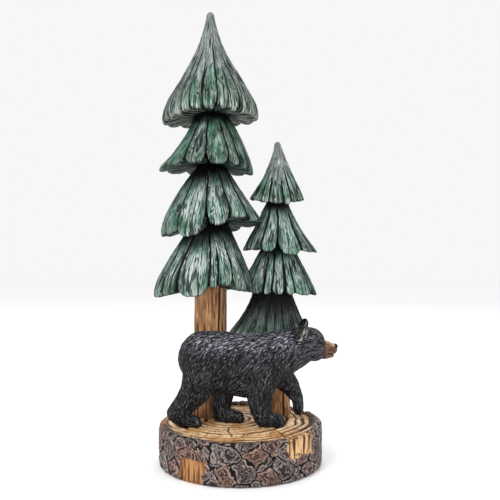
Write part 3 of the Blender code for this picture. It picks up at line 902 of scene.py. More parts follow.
def tier_surface(tier, height, seed, first, columns, steps):
    """Radius, height and layers of a tier, ring by ring: crown or root, flank, curled rim, underside."""
    edges = np.array(frond_edges(tier, seed), dtype=float)
    ends = np.append(edges, edges[0] + 360)
    turn = np.arange(columns) / columns
    degrees = edges[0] + 360 * turn
    t = np.linspace(0, 1, steps)[:, None]
    drift = wavy(seed, 9)(turn[None, :], t * 4) * 2.6 * (1 - t)
    drift = drift + wavy(seed + 1, 23)(turn[None, :], t * 3) * 0.9
    here = edges[0] + np.mod(degrees[None, :] - edges[0] + drift, 360.0)
    frond = np.clip(np.searchsorted(ends, here, side="right") - 1, 0, len(edges) - 1)
    low, high = ends[frond], ends[frond + 1]
    across = (here - (low + high) / 2) / ((high - low) / 2)
    count = len(edges)
    tips = np.zeros(count)
    tips[: len(tier["tips"])] = tier["tips"]
    notch = np.array([tier["notches"].get(int(edge), 0.0) for edge in edges])
    right = across > 0
    neighbour = np.where(right, (frond + 1) % count, (frond - 1) % count)
    cut = np.where(right, notch[(frond + 1) % count], notch[frond])
    side = smoothstep(0.42, 1.0, abs(across))
    tip = tips[frond] * (1 - side / 2) + tips[neighbour] * side / 2
    rim = around(degrees, tier["rim"])[None, :] + tip
    rim = rim + SCALLOP * abs(across) ** 3 + cut * abs(across) ** 4.5
    dice = np.random.default_rng(seed + 5)
    starts = dice.uniform(-0.1, 0.30, count) + (0.28 if first else 0.0)
    start = np.where(right, starts[(frond + 1) % count], starts[frond])
    open_groove = smoothstep(start, start + 0.25, t)
    lean = dice.uniform(-0.9, 0.0, count) * MM
    groove = 0.35 * abs(across) ** 2 + 0.65 * abs(across) ** 7
    wide = tier["paint"].get("groove", 1.0)
    sink = FROND_GROOVE * wide * np.minimum(1, 0.25 + 1.3 * t) * open_groove * groove - lean[frond] * t
    veins = split_veins(dice, frond, across, t, count)
    bare_radius = flank(tier, degrees[None, :], t) * height
    to_groove = (1 - abs(across)) * np.radians(high - low) / 2 * bare_radius
    radius = bare_radius - sink - veins * VEIN_DEPTH * (0.3 + 0.7 * t)
    z = (tier["top"] + (rim - tier["top"]) * t) * height
    if first:
        z -= tier["neck"][0] * CROWN * height * (1 - t) ** 3
    layers = {
        "groove": (1 - smoothstep(GROOVE_LINE[0] * wide, GROOVE_LINE[1] * wide, to_groove)) * open_groove,
        "vein": veins,
        "edge": abs(across) * open_groove,
        "down": t * np.ones_like(across),
        "under": np.zeros_like(across),
        "turned": here,
        "frond": frond.astype(float),
    }
    if first:
        lean_back = np.radians(CROWN_RINGS)[:, None]
        top = tier["top"] * height
        radius = np.concatenate([radius[:1] * np.sin(lean_back), radius])
        z = np.concatenate([top + (z[:1] - top) * (1 - np.cos(lean_back)), z])
        layers = {
            key: np.concatenate([values[:1].repeat(len(lean_back), 0), values])
            for key, values in layers.items()
        }
    hollow = (sum(tier["rim"]) / 4 + HOLLOW_RISE) * height
    return curl_under(tier, radius, z, hollow, layers)


print("tier shape ready")

# %% [markdown]
# ## Boughs: needles and paint
#
# The carver combed each frond with a rasp, so its needles are fine ridges that fan out from the neck.
# Noise does that if it is read in combed coordinates: fast round the tree, slow down the frond, with a
# jump from frond to frond. The paint reads the same coordinates, so its streaks, washes and scratches run
# with the needles.

# %% Boughs: needles and paint
def knife_lines(bench, comb, spacing):
    """Long cuts that run down a frond about this far apart, and the pale burr beside each."""
    field = (bench.noise(comb, 1.0 / spacing, 1.0) - 0.5).sum_with("ABSOLUTE")
    broken = bench.noise(comb.scaled((1.0, 1.0, 3.0)), 0.6 / spacing, 0.0).between(0.46, 0.54)
    cut = (1 - field.between(0.008, 0.045)) * broken
    burr = field.between(0.03, 0.05) * (1 - field.between(0.07, 0.11)) * broken
    return cut, burr


def needle_rule(bench, shape, size):
    comb = known(bench, "comb", "FLOAT_VECTOR")
    cut, burr = knife_lines(bench, comb, size["Cut Spacing"])
    coarse = bench.noise(comb, 1.0 / size["Needle Width"], 1.0)
    needle = 1 - (coarse * 2 - 1).sum_with("ABSOLUTE") * 2.2
    rough = bench.noise(bench.node("GeometryNodeInputPosition"), 260.0, 2.0) - 0.5
    amount = known(bench, "combed")
    height = needle * size["Needle Depth"] + rough * size["Knife Marks"] - cut * size["Cut Depth"]
    return lift(bench, shape, height * amount)


def bough_coats(bench, place):
    names = ("groove", "vein", "edge", "under", "gloom", "shade", "silver", "brush_and_sheen", "tip")
    groove, vein, edge, under, gloom, shade, silver, brush_and_sheen, tip = (layer(bench, name) for name in names)
    comb = layer(bench, "comb", "Vector")
    cut, burr = knife_lines(bench, comb, CUT_SPACING)
    scratch, gleam = knife_lines(bench, comb.shifted((0.4, 0.2, 0.1)), CUT_SPACING * 0.38)
    fine = bench.noise(comb.scaled((1.0, 1.0, 0.75)), 1150.0, 2.0, 0.6)
    patch = bench.noise(place, 75.0, 3.0)
    speck = bench.noise(place, 1500.0, 3.0, 0.6)
    green = bench.mix(patch.between(0.40, 0.60), seen(30, 66, 51), seen(58, 110, 86))
    grey = bench.mix((fine * 0.6 + speck * 0.4).between(0.38, 0.60), seen(38, 40, 38), seen(132, 134, 130))
    base = bench.mix(silver, green, grey)
    valley = bench.mix(fine.between(0.50, 0.38) * 0.60, base, seen(20, 28, 24))
    pale = bench.mix(patch.between(0.45, 0.58), seen(158, 184, 174), seen(196, 198, 210))
    crest = 1 - edge.between(0.45, 0.98) * 0.85
    brushed = fine.between(0.42, 0.60) * speck.between(0.22, 0.46)
    # Pale dry brush on the crests, partly a painted sheen of the front light.
    topped = bench.mix(brushed * brush_and_sheen * crest, valley, pale)
    # Pale burrs beside the cuts, and the painted highlight on the curled tips.
    edged = bench.mix(gleam * (brush_and_sheen * 0.6 + 0.25) + burr * 0.3 + tip * brushed, topped, seen(190, 200, 194))
    lined = bench.mix(scratch * 0.85, edged, seen(14, 20, 17))
    knifed = bench.mix(cut * 0.85, lined, seen(14, 20, 17))
    veined = bench.mix(vein.between(0.25, 0.8) * 0.9, knifed, seen(12, 18, 15))
    parted = bench.mix(groove.between(0.2, 0.7), veined, seen(7, 10, 9))
    shadow = bench.mix(shade * (fine.between(0.66, 0.42) * 0.7 + 0.3), parted, seen(10, 14, 12))
    rib = under.between(0.10, 0.30) * under.between(0.90, 0.55) * fine.between(0.50, 0.60)
    rib = rib * silver.between(0.0, 0.5)
    ribbed = bench.mix(rib * 0.55, shadow, seen(168, 174, 160))
    # Painted shade deep under the bell, near black towards the middle.
    hollow = bench.mix(under.between(0.60, 0.90), ribbed, seen(12, 14, 12))
    # Painted shade of the tier above, laid over everything.
    return bench.mix(gloom, hollow, seen(9, 11, 10)), 0.55 + groove * 0.2, fine - scratch * 0.4


CUT_SPACING = 6.5 * MM
NEEDLE_SIZES = {
    "Needle Width": 1.7 * MM, "Needle Depth": 0.12 * MM, "Knife Marks": 0.8 * MM,
    "Cut Spacing": CUT_SPACING, "Cut Depth": 0.55 * MM,
}
BOUGH = layered("pine_green", 0.55, bough_coats, shine=0.14)
print("needle sizes, mm:", {size: round(value * 1000, 2) for size, value in NEEDLE_SIZES.items()})

# %% [markdown]
# ## Boughs: paint, painted shade and highlights on each tier
#
# The painter didn't treat all tiers alike. The first tier of each pine is silver grey with green only low
# on its front, and the lower ones are green with a pale dry brush on the front, to which a painted sheen
# of the front light is added. Painted shade makes each neck nearly black where the tier above shades it,
# and darkens the flanks, the fronds near each groove and the underside; a painted highlight lightens the
# curled tips. Such differences are broad, so they are worked out in Python for each tier and stored on
# its points, while the fine streaks stay in the material that all tiers share.

# %% Boughs: paint and painted light on each tier
LANE = 7.3 * MM
DOWN_SQUEEZE = 0.13
# Degrees round the pine: straight to the front, and the side that the dry brush and the painted sheen favour.
FRONT, BRUSH_AND_SHEEN_SIDE = 270, 272


def combed(radius, z, layers):
    """Coordinates for noise that runs down each frond, with a jump from frond to frond."""
    turned = np.radians(layers["turned"])
    rim_radius = radius.max()
    lane = layers["frond"] * LANE
    run = np.cumsum(np.hypot(*np.gradient(np.stack([radius, z]), axis=1)), axis=0)
    run = (run - z.max()) * DOWN_SQUEEZE
    return np.stack([rim_radius * np.cos(turned) + lane, rim_radius * np.sin(turned) - lane, run], axis=-1)


def tier_paint_and_light(tier, layers, angle, seed):
    """Where a tier is silver or dry-brushed and sheened, and where it takes painted shade and a painted
    highlight at its tips.
    """
    paint, down, under = tier["paint"], layers["down"], layers["under"]
    turn = np.mod(angle / (2 * np.pi), 1.0)[None, :]
    facing = np.clip(np.cos(angle - np.radians(BRUSH_AND_SHEEN_SIDE)), 0, 1) ** 1.5
    mottle = wavy(seed + 9, 14)(turn, down * 6)
    # Painted shade: the tier above darkens the neck of this one.
    gloom = 1 - smoothstep(paint["gloom"] * 0.35, paint["gloom"] * 1.5 + 0.01, down + 0.05 * mottle)
    gloom = gloom if paint["gloom"] else np.zeros_like(down)
    greened = smoothstep(0.46, 0.66, down + 0.10 * mottle) * (1 - paint.get("sides", 0.0) * (1 - facing**3))
    silver = paint["silver"] * (1 - greened)
    # Pale dry brush, with a painted sheen of the front light across the middle of the front.
    middle = np.exp(-(((down - 0.58) / 0.30) ** 2))
    brush_and_sheen = paint["brush_and_sheen"] * np.clip(0.10 + 1.25 * facing * middle + 0.35 * mottle, 0, 1.25)
    brush_and_sheen = np.maximum(brush_and_sheen, paint["silver"] * 0.55 * (1 - smoothstep(0.2, 0.8, down)))
    brush_and_sheen = np.maximum(brush_and_sheen, 0.40 * smoothstep(0.05, 0.2, under) * (1 - smoothstep(0.4, 0.62, under)))
    # Painted shade: darker towards the grooves, on the flanks away from the front, and under the bell.
    flanks = 1 - abs(np.cos(angle - np.radians(FRONT)))
    patchy = wavy(seed + 17, 22)(turn, down * 7)
    shade = np.clip(0.75 * layers["edge"] ** 2 * (0.6 + patchy) + 0.75 * flanks * (0.7 + mottle), 0, 1) * 0.85
    shade = np.maximum(shade, 0.90 * smoothstep(0.03, 0.26, under))
    # Painted highlight on the curled tips, strongest on the silver first tiers.
    tip = smoothstep(0.86, 0.97, down) * (1 - smoothstep(0.25, 0.5, under)) * (1 - layers["edge"] ** 2)
    tip = tip * (0.3 + 0.6 * (paint["silver"] > 0))
    return {"gloom": gloom, "shade": shade, "tip": tip, "silver": silver, "brush_and_sheen": brush_and_sheen}


def bough(name, place, height, tier, seed, first, columns, steps):
    """One tier of boughs as its own piece, rooted in the tier above."""
    radius, z, layers, hollow = tier_surface(tier, height, seed, first, columns, steps)
    angle = np.radians(frond_edges(tier, seed)[0] + 360 * np.arange(columns) / columns)
    x, y = place[0] + radius * np.cos(angle), place[1] + radius * np.sin(angle) * DEPTH_SHARE
    cone = layers["down"] if first else np.ones_like(layers["down"])
    stored = {key: layers[key] for key in ("groove", "vein", "edge", "under")}
    stored["comb"] = combed(radius, z, layers)
    stored |= tier_paint_and_light(tier, layers, angle, seed)
    stored["combed"] = smoothstep(0.0, 0.22, cone)
    root = LOG_TOP + (tier["top"] + (0 if first else ROOT_RISE)) * height
    grid = np.stack([x, y, LOG_TOP + z], axis=-1)
    piece = skin(name, grid, (*place, root), (*place, LOG_TOP + hollow), stored)
    carve(piece, name + "_needles", NEEDLE_SIZES, BOUGH, needle_rule)
    settle(piece)


# Name, place, height, tiers, first seed, and points round and down each tier.
PINES = (
    ("tall_bough", TALL_PLACE, TALL_HEIGHT, TALL_TIERS, 10, 480, 56),
    ("short_bough", SHORT_PLACE, SHORT_HEIGHT, SHORT_TIERS, 40, 360, 46),
)
for kind, place, height, tiers, seed, columns, steps in PINES:
    for number, tier in enumerate(tiers):
        bough(f"{kind}_{number + 1}", place, height, tier, seed + number, number == 0, columns, steps)

# %% [markdown]
# ## The bear: masses
#
# The bear is modelled the way a sculptor starts in clay: egg-shaped masses for chest, belly, haunch and
# joints, each with its neighbour wrapped in one hull, and all of them melted into one skin. Placing
# masses is quicker than pushing points, and it keeps the anatomy readable in a table. A voxel remesh
# melts them, and smoothing softens the joins. All numbers are shares of the bear's length, so the bear
# scales with one value.

# %% The bear: masses
BEAR_LENGTH = 114.7 * MM
BEAR_PLACE = (12.7 * MM, -6.0 * MM)
# Masses: x, y, z of the middle and the three radii. x runs forward from the rump, y to the bear's left.
SPINE = (
    (0.158, 0.000, 0.418, 0.160, 0.126, 0.170),
    (0.275, 0.000, 0.392, 0.125, 0.132, 0.196),
    (0.425, 0.000, 0.366, 0.125, 0.140, 0.198),
    (0.562, 0.000, 0.398, 0.112, 0.133, 0.184),
    (0.688, 0.000, 0.457, 0.080, 0.106, 0.148),
    (0.790, 0.000, 0.500, 0.085, 0.096, 0.118),
)
HEAD = (
    (0.822, 0.000, 0.508, 0.100, 0.094, 0.104),
    (0.850, 0.000, 0.474, 0.082, 0.084, 0.078),
)
MUZZLE = (
    (0.890, 0.000, 0.470, 0.048, 0.054, 0.062),
    (0.945, 0.000, 0.466, 0.030, 0.034, 0.040),
)
TAIL = ((0.026, 0.000, 0.415, 0.030, 0.030, 0.040),)
HIND_LEG_NEAR = (
    (0.156, -0.052, 0.360, 0.122, 0.082, 0.130),
    (0.115, -0.056, 0.228, 0.096, 0.074, 0.096),
    (0.056, -0.058, 0.152, 0.074, 0.060, 0.074),
    (0.000, -0.058, 0.086, 0.064, 0.054, 0.062),
    (0.044, -0.058, 0.044, 0.052, 0.052, 0.050),
    (0.106, -0.058, 0.032, 0.044, 0.048, 0.040),
)
HIND_LEG_FAR = (
    (0.250, 0.052, 0.310, 0.094, 0.078, 0.094),
    (0.278, 0.054, 0.215, 0.080, 0.066, 0.080),
    (0.268, 0.056, 0.105, 0.062, 0.055, 0.062),
    (0.270, 0.056, 0.054, 0.054, 0.050, 0.052),
    (0.364, 0.056, 0.036, 0.048, 0.048, 0.042),
)
FORE_LEG_NEAR = (
    (0.548, -0.052, 0.335, 0.104, 0.078, 0.104),
    (0.505, -0.056, 0.220, 0.084, 0.070, 0.084),
    (0.518, -0.058, 0.108, 0.068, 0.060, 0.068),
    (0.535, -0.058, 0.050, 0.060, 0.054, 0.052),
    (0.612, -0.058, 0.038, 0.052, 0.050, 0.044),
)
FORE_LEG_FAR = (
    (0.632, 0.050, 0.310, 0.085, 0.066, 0.085),
    (0.702, 0.054, 0.236, 0.062, 0.054, 0.062),
    (0.750, 0.056, 0.156, 0.038, 0.042, 0.040),
    (0.754, 0.056, 0.088, 0.034, 0.040, 0.042),
)
# Paws that stand on the log: x and y of the middle of the toes. Each has four toes side by side.
PAWS = ((0.128, -0.058), (0.388, 0.056), (0.640, -0.058))
TOES = tuple(
    ((x + 0.010 - 0.006 * abs(k) * 2, y + k * 0.0235, 0.022, 0.024, 0.0135, 0.021),)
    for x, y in PAWS for k in (-1.5, -0.5, 0.5, 1.5)
)
BEAR_CHAINS = (
    SPINE, HEAD, MUZZLE, TAIL, HIND_LEG_NEAR, HIND_LEG_FAR, FORE_LEG_NEAR, FORE_LEG_FAR, *TOES,
)
BEAR_CORNER = Vector((BEAR_PLACE[0] - BEAR_LENGTH / 2, BEAR_PLACE[1], LOG_TOP - SINK / 2))
print(len(BEAR_CHAINS), "chains of masses, bear length, mm:", round(BEAR_LENGTH * 1000, 1))

# %% [markdown]
# ## The bear: melting the masses
#
# Two neighbouring masses are joined by the tightest hull round both, which gives a limb that tapers. All
# hulls go into one mesh, a voxel remesh turns it into a single closed skin, and smoothing rounds the
# creases. Smaller voxels keep more of the toes, but cost triangles, so their size is a choice.

# %% The bear: melting the masses
BODY_VOXEL = 0.50 * MM
BODY_SMOOTHING = 11


def melted(name, chains, voxel, rounds):
    """Hulls between neighbouring masses, melted into one skin and softened; gives back a plain mesh."""
    frame_of = Matrix.Translation(BEAR_CORNER) @ Matrix.Diagonal((BEAR_LENGTH,) * 3 + (1.0,))
    whole = bmesh.new()
    for chain in chains:
        for pair in list(zip(chain, chain[1:])) or [(chain[0], chain[0])]:
            limb = bmesh.new()
            for x, y, z, rx, ry, rz in pair:
                shape = frame_of @ Matrix.Translation((x, y, z)) @ Matrix.Diagonal((rx, ry, rz, 1.0))
                bmesh.ops.create_icosphere(limb, subdivisions=3, radius=1.0, matrix=shape)
            hull = bmesh.ops.convex_hull(limb, input=list(limb.verts))
            loose = [v for v in hull["geom_interior"] if isinstance(v, bmesh.types.BMVert)]
            bmesh.ops.delete(limb, geom=loose, context="VERTS")
            rough = bpy.data.meshes.new("limb")
            limb.to_mesh(rough)
            limb.free()
            whole.from_mesh(rough)
            bpy.data.meshes.remove(rough)
    mesh = bpy.data.meshes.new(name)
    whole.to_mesh(mesh)
    whole.free()
    piece = bpy.data.objects.new(name, mesh)
    bpy.context.scene.collection.objects.link(piece)
    melt = piece.modifiers.new("melt", "REMESH")
    melt.mode = "VOXEL"
    melt.voxel_size = voxel
    soften = piece.modifiers.new("soften", "SMOOTH")
    soften.factor, soften.iterations = 0.5, rounds
    graph = bpy.context.evaluated_depsgraph_get()
    plain = bpy.data.meshes.new_from_object(piece.evaluated_get(graph), depsgraph=graph)
    piece.modifiers.clear()
    piece.data = plain
    bpy.data.meshes.remove(mesh)
    return piece


def points_of(mesh):
    """Positions and normals of a mesh's points, as arrays."""
    spots = np.empty(len(mesh.vertices) * 3)
    mesh.vertices.foreach_get("co", spots)
    normals = np.empty(len(mesh.vertices) * 3)
    mesh.vertex_normals.foreach_get("vector", normals)
    return spots.reshape(-1, 3), normals.reshape(-1, 3)


def in_shares(spots):
    """Places in metres as shares of the bear's length."""
    return (spots - np.array(BEAR_CORNER)) / BEAR_LENGTH


bear = melted("black_bear", BEAR_CHAINS, BODY_VOXEL, BODY_SMOOTHING)
spots, normals = points_of(bear.data)
shares = in_shares(spots)
print("bear points:", len(spots))

# %% [markdown]
# ## The bear: which way the fur lies
#
# Fur is the bear's main texture: short chisel strokes that lie back along the spine, down the flanks and
# down the legs. Each limb gets a direction of its own, and a point of the skin takes a blend of the
# directions of the limbs near it. A streak is then noise averaged along that direction. Both the carving
# and the paint use it.

# %% The bear: which way the fur lies
# Limb: start and end in shares of the length (x, y, z), reach of its influence, and how the fur lies there.
FUR = (
    ((0.10, 0.0, 0.55), (0.75, 0.0, 0.58), 0.10, (-1.0, 0.0, -0.25)),
    ((0.10, 0.0, 0.42), (0.62, 0.0, 0.40), 0.11, (-0.55, 0.0, -1.0)),
    ((0.20, 0.0, 0.26), (0.58, 0.0, 0.26), 0.08, (-0.7, 0.0, -0.5)),
    ((0.06, 0.0, 0.50), (0.02, 0.0, 0.34), 0.08, (-0.35, 0.0, -1.0)),
    ((0.13, 0.0, 0.30), (0.02, 0.0, 0.12), 0.10, (-0.30, 0.0, -1.0)),
    ((0.27, 0.0, 0.24), (0.27, 0.0, 0.08), 0.08, (-0.10, 0.0, -1.0)),
    ((0.52, 0.0, 0.28), (0.52, 0.0, 0.08), 0.09, (-0.12, 0.0, -1.0)),
    ((0.66, 0.0, 0.28), (0.75, 0.0, 0.10), 0.06, (0.20, 0.0, -1.0)),
    ((0.02, 0.0, 0.03), (0.12, 0.0, 0.03), 0.06, (1.0, 0.0, -0.3)),
    ((0.30, 0.0, 0.03), (0.38, 0.0, 0.03), 0.06, (1.0, 0.0, -0.3)),
    ((0.56, 0.0, 0.03), (0.64, 0.0, 0.03), 0.06, (1.0, 0.0, -0.3)),
    ((0.70, 0.0, 0.46), (0.74, 0.0, 0.38), 0.09, (-0.6, 0.0, -1.0)),
    ((0.80, 0.0, 0.56), (0.98, 0.0, 0.48), 0.07, (-1.0, 0.0, 0.30)),
    ((0.80, 0.0, 0.42), (0.92, 0.0, 0.43), 0.06, (-1.0, 0.0, -0.55)),
)


def near_limb(shares, start, end):
    """Distance from every point of the skin to a limb's line, in shares, seen from the side."""
    start, end = np.array(start), np.array(end)
    line = end - start
    share = np.clip(((shares - start) @ line) / (line @ line), 0, 1)[:, None]
    off = shares - (start + share * line)
    return np.hypot(off[:, 0], off[:, 2])


flow = np.zeros_like(spots)
total = np.zeros(len(spots))
for start, end, reach, way in FUR:
    weight = np.exp(-((near_limb(shares, start, end) / reach) ** 2)) + 1e-6
    flow += weight[:, None] * (np.array(way) / np.linalg.norm(way))
    total += weight
flow /= total[:, None]
flow -= normals * (flow * normals).sum(axis=1, keepdims=True) * 0.85
flow /= np.linalg.norm(flow, axis=1, keepdims=True) + 1e-9
print("fur directions ready")

# %% [markdown]
# ## The bear: layers for the carver and the painter
#
# Some things on the bear have a place rather than a rule: sockets for the eyes, a brow and a cheek,
# creases behind the elbows and between the toes, and the band along the back where the pale brush went
# most. Each is a soft blob round a point, in shares of the length. Some push the skin in or out, and all
# are stored for the paint.

# %% The bear: layers for the carver and the painter
def blob(shares, middle, radii):
    """1 at a place on the bear, falling smoothly to 0 at its radii, in shares of the length."""
    off = (shares - np.array(middle)) / np.array(radii)
    return np.exp(-(off**2).sum(axis=1) * 2.0)


def both_sides(shares, middle, radii):
    """The same blob on the bear's right and left."""
    x, y, z = middle
    return blob(shares, (x, -y, z), radii) + blob(shares, (x, y, z), radii)


head = smoothstep(0.70, 0.80, shares[:, 0]) * smoothstep(0.36, 0.42, shares[:, 2])
muzzle = smoothstep(0.888, 0.920, shares[:, 0] + 0.15 * (0.47 - shares[:, 2])) * (shares[:, 2] > 0.38)
socket = both_sides(shares, (0.885, 0.080, 0.530), (0.022, 0.040, 0.018))
brow = both_sides(shares, (0.868, 0.075, 0.565), (0.050, 0.045, 0.022))
cheek = both_sides(shares, (0.840, 0.080, 0.455), (0.050, 0.045, 0.045))
elbow = blob(shares, (0.600, -0.120, 0.300), (0.018, 0.060, 0.090))
elbow = elbow + blob(shares, (0.300, -0.130, 0.300), (0.020, 0.060, 0.100))
knuckle = sum(
    blob(shares, (x - 0.002, y + k * 0.0235, 0.040), (0.030, 0.006, 0.034))
    for x, y in PAWS for k in (-1, 0, 1)
)
pushed = brow * 0.5 + cheek * 0.8 - socket * 1.1 - elbow * 0.9 - knuckle * 0.8
spots += normals * pushed[:, None] * MM
bear.data.vertices.foreach_set("co", spots.ravel())
bear.data.update()
dark = np.clip(socket * 1.2 + elbow * 0.8 + knuckle * 1.1, 0, 1)
back = smoothstep(0.10, 0.75, normals[:, 2]) * smoothstep(0.40, 0.50, shares[:, 2])
band = np.exp(-(((shares[:, 2] - 0.520) / 0.066) ** 2)) * smoothstep(0.02, 0.12, shares[:, 0])
dust = np.clip(0.9 * band * (1 - head) + 0.20 * back + 0.12 * head, 0, 1)
dust = np.maximum(dust, 0.30 * (shares[:, 2] < 0.085) * smoothstep(0.0, 0.7, normals[:, 2]))
dust = np.clip(dust, 0, 1) * (1 - dark)
furry = 1 - 0.65 * head
furry = furry * (1 - muzzle) * (shares[:, 2] >= 0.03)
bear_layers = {"head": head, "muzzle": muzzle, "dark": dark, "dust": dust, "furry": furry, "flow": flow}
for name, values in bear_layers.items():
    store(bear.data, name, values)
print("layers on the bear:", ", ".join(bear_layers))

# %% [markdown]
# ## The bear: fur
#
# Real fur would be millions of hairs. The carver of a casting cuts locks instead, a millimetre wide and a
# few long, with finer hairs on them, so fur here is two sizes of streaks that lift the skin. The paint
# has its own, still finer streaks: nearly black between the hairs, and a pale dry brush on top, strongest
# along the back.

# %% The bear: fur
def streaks(bench, place, flow, width, length, samples=9):
    """Noise averaged along the way the fur lies: short strokes of the given width and length."""
    total = None
    for step in range(samples):
        along = flow.scaled(length * (step / (samples - 1) - 0.5))
        here = bench.noise(place.shifted(along), 0.55 / width, 0.0)
        total = here if total is None else total + here
    return (total / samples - 0.5) * 3.2


def fur_rule(bench, shape, size):
    place = bench.node("GeometryNodeInputPosition")
    flow = known(bench, "flow", "FLOAT_VECTOR")
    lock = streaks(bench, place, flow, size["Lock Width"], size["Lock Length"])
    hair = streaks(bench, place.shifted((0.3, 0.1, 0.2)), flow, size["Hair Width"], size["Hair Length"])
    clump = bench.noise(place, 90.0, 1.0) - 0.5
    height = lock * size["Lock Height"] + hair * size["Hair Height"] + clump * size["Clump Height"]
    shape = lift(bench, shape, height * known(bench, "furry") - size["Set Back"])
    return note(bench, shape, "lock", lock * 0.6 + hair * 0.4 + 0.5)


def bear_coats(bench, place):
    names = ("lock", "muzzle", "dark", "dust", "furry", "head")
    lock, muzzle, dark, dust, furry, head = (layer(bench, name) for name in names)
    flow = layer(bench, "flow", "Vector")
    hair = streaks(bench, place, flow, BRUSHED_WIDTH, BRUSHED_LENGTH, 6)
    speck = bench.noise(place, 1500.0, 3.0, 0.6)
    patch = bench.noise(place, 60.0, 2.0).between(0.35, 0.65)
    coal = bench.mix(patch, seen(34, 34, 36), seen(54, 54, 57))
    black = bench.mix(head * 0.8, coal, seen(68, 68, 72))
    cut = bench.mix((lock * 0.5 + hair * 0.7).between(0.38, 0.12), black, seen(3, 3, 4))
    ridge = (lock * 0.10 + hair * 1.2 + dust * 0.10).between(0.22, 0.70)
    ridge = ridge * (speck.between(0.32, 0.50) * 0.6 + 0.4)
    film = bench.mix(dust * lock.between(0.3, 0.8) * 0.3, cut, seen(96, 96, 110))
    brushed = bench.mix(ridge * (dust * 0.72 + 0.26 - head * 0.16), film, seen(186, 186, 198))
    deep = bench.mix(dark * 0.85, brushed, seen(8, 8, 9))
    brown = bench.mix(ridge, seen(44, 32, 24), seen(150, 118, 84))
    return bench.mix(muzzle, deep, brown), 0.5 + speck * 0.1, hair * furry + speck * 0.3


BRUSHED_WIDTH, BRUSHED_LENGTH = 0.31 * MM, 1.6 * MM
FUR_SIZES = {
    "Lock Width": 0.85 * MM, "Lock Length": 3.2 * MM, "Lock Height": 0.36 * MM,
    "Hair Width": 0.65 * MM, "Hair Length": 2.6 * MM, "Hair Height": 0.26 * MM,
    "Clump Height": 0.7 * MM, "Set Back": 0.1 * MM,
}
BEAR_BLACK = layered("bear_black", 0.46, bear_coats, shine=0.14)
carve(bear, "bear_fur", FUR_SIZES, BEAR_BLACK, fur_rule)
settle(bear)

# %% [markdown]
# ## The bear: muzzle and nose
#
# The bear's face is a hand's work on a small scale, so it gets finer masses of its own. The tan muzzle is
# an upper lip and a lower jaw with a slit between them, and a nose pad in front with two nostrils. They
# are melted like the body, with smaller voxels, and the slit and nostrils are pressed in afterwards.

# %% The bear: muzzle and nose
FACE_VOXEL = 0.34 * MM
FACE_SMOOTHING = 3
UPPER_LIP = (
    (0.915, 0.000, 0.482, 0.044, 0.050, 0.048),
    (0.966, 0.000, 0.474, 0.030, 0.037, 0.034),
)
LOWER_JAW = (
    (0.915, 0.000, 0.450, 0.042, 0.044, 0.040),
    (0.946, 0.000, 0.438, 0.032, 0.031, 0.020),
)
NOSE_PAD = ((0.978, 0.000, 0.492, 0.022, 0.024, 0.018),)


def muzzle_coats(bench, place):
    speck = bench.noise(place, 1300.0, 3.0)
    patch = bench.noise(place, 260.0, 2.0)
    nose, mouth, ridge, root = (layer(bench, name) for name in ("nose", "mouth", "ridge", "root"))
    hair = bench.noise(place.scaled((0.25, 1.0, 1.0)), 1100.0, 2.0)
    tan = bench.mix(speck.between(0.35, 0.65), seen(92, 60, 36), seen(146, 100, 62))
    shaded = bench.mix(patch.between(0.35, 0.6), seen(96, 64, 42), tan)
    dirty = bench.mix(hair.between(0.53, 0.40) * 0.85, shaded, seen(36, 24, 17))
    light = bench.mix(ridge * hair.between(0.42, 0.56) * 0.8, dirty, seen(206, 176, 132))
    grown = bench.mix((root + hair * 0.8).between(0.60, 1.05) * 0.85, light, seen(34, 30, 28))
    slit = bench.mix(mouth, grown, seen(24, 16, 12))
    return bench.mix(nose, slit, seen(14, 13, 14)), 0.48 - nose * 0.25, speck * (1 - nose)


MUZZLE_TAN = layered("muzzle_tan", 0.5, muzzle_coats, shine=0.3)
face = melted("bear_muzzle", (UPPER_LIP, LOWER_JAW, NOSE_PAD), FACE_VOXEL, FACE_SMOOTHING)
spots, normals = points_of(face.data)
shares = in_shares(spots)
slit_height = 0.444 - 0.25 * (shares[:, 0] - 0.955)
mouth = np.exp(-(((shares[:, 2] - slit_height) / 0.0045) ** 2)) * smoothstep(0.905, 0.93, shares[:, 0])
nostril = both_sides(shares, (1.000, 0.013, 0.496), (0.010, 0.009, 0.006))
pad = smoothstep(0.972, 0.979, shares[:, 0])
pad = pad * smoothstep(0.474, 0.481, shares[:, 2] - 0.3 * (0.99 - shares[:, 0]))
ridge = smoothstep(0.3, 0.9, normals[:, 2]) * (1 - pad)
spots -= normals * (mouth * 0.75 + nostril * 0.7)[:, None] * MM
face.data.vertices.foreach_set("co", spots.ravel())
root = 1 - smoothstep(0.890, 0.940, shares[:, 0])
face_layers = {"nose": np.clip(pad, 0, 1), "mouth": np.clip(mouth * 1.3, 0, 1), "ridge": ridge, "root": root}
for name, values in face_layers.items():
    store(face.data, name, values)
face.data.materials.append(MUZZLE_TAN)
face.data.shade_smooth()
settle(face)

# %% [markdown]
# ## The bear: ears
#
# An ear is a flattened egg. The half that faces the front of the statue is pushed in to make a bowl with
# a rim, deeper on the far ear, whose bowl can be seen. The rim is brushed pale on its forward side, and
# one pale streak runs through the bowl. The same egg, left round, makes the eyes.

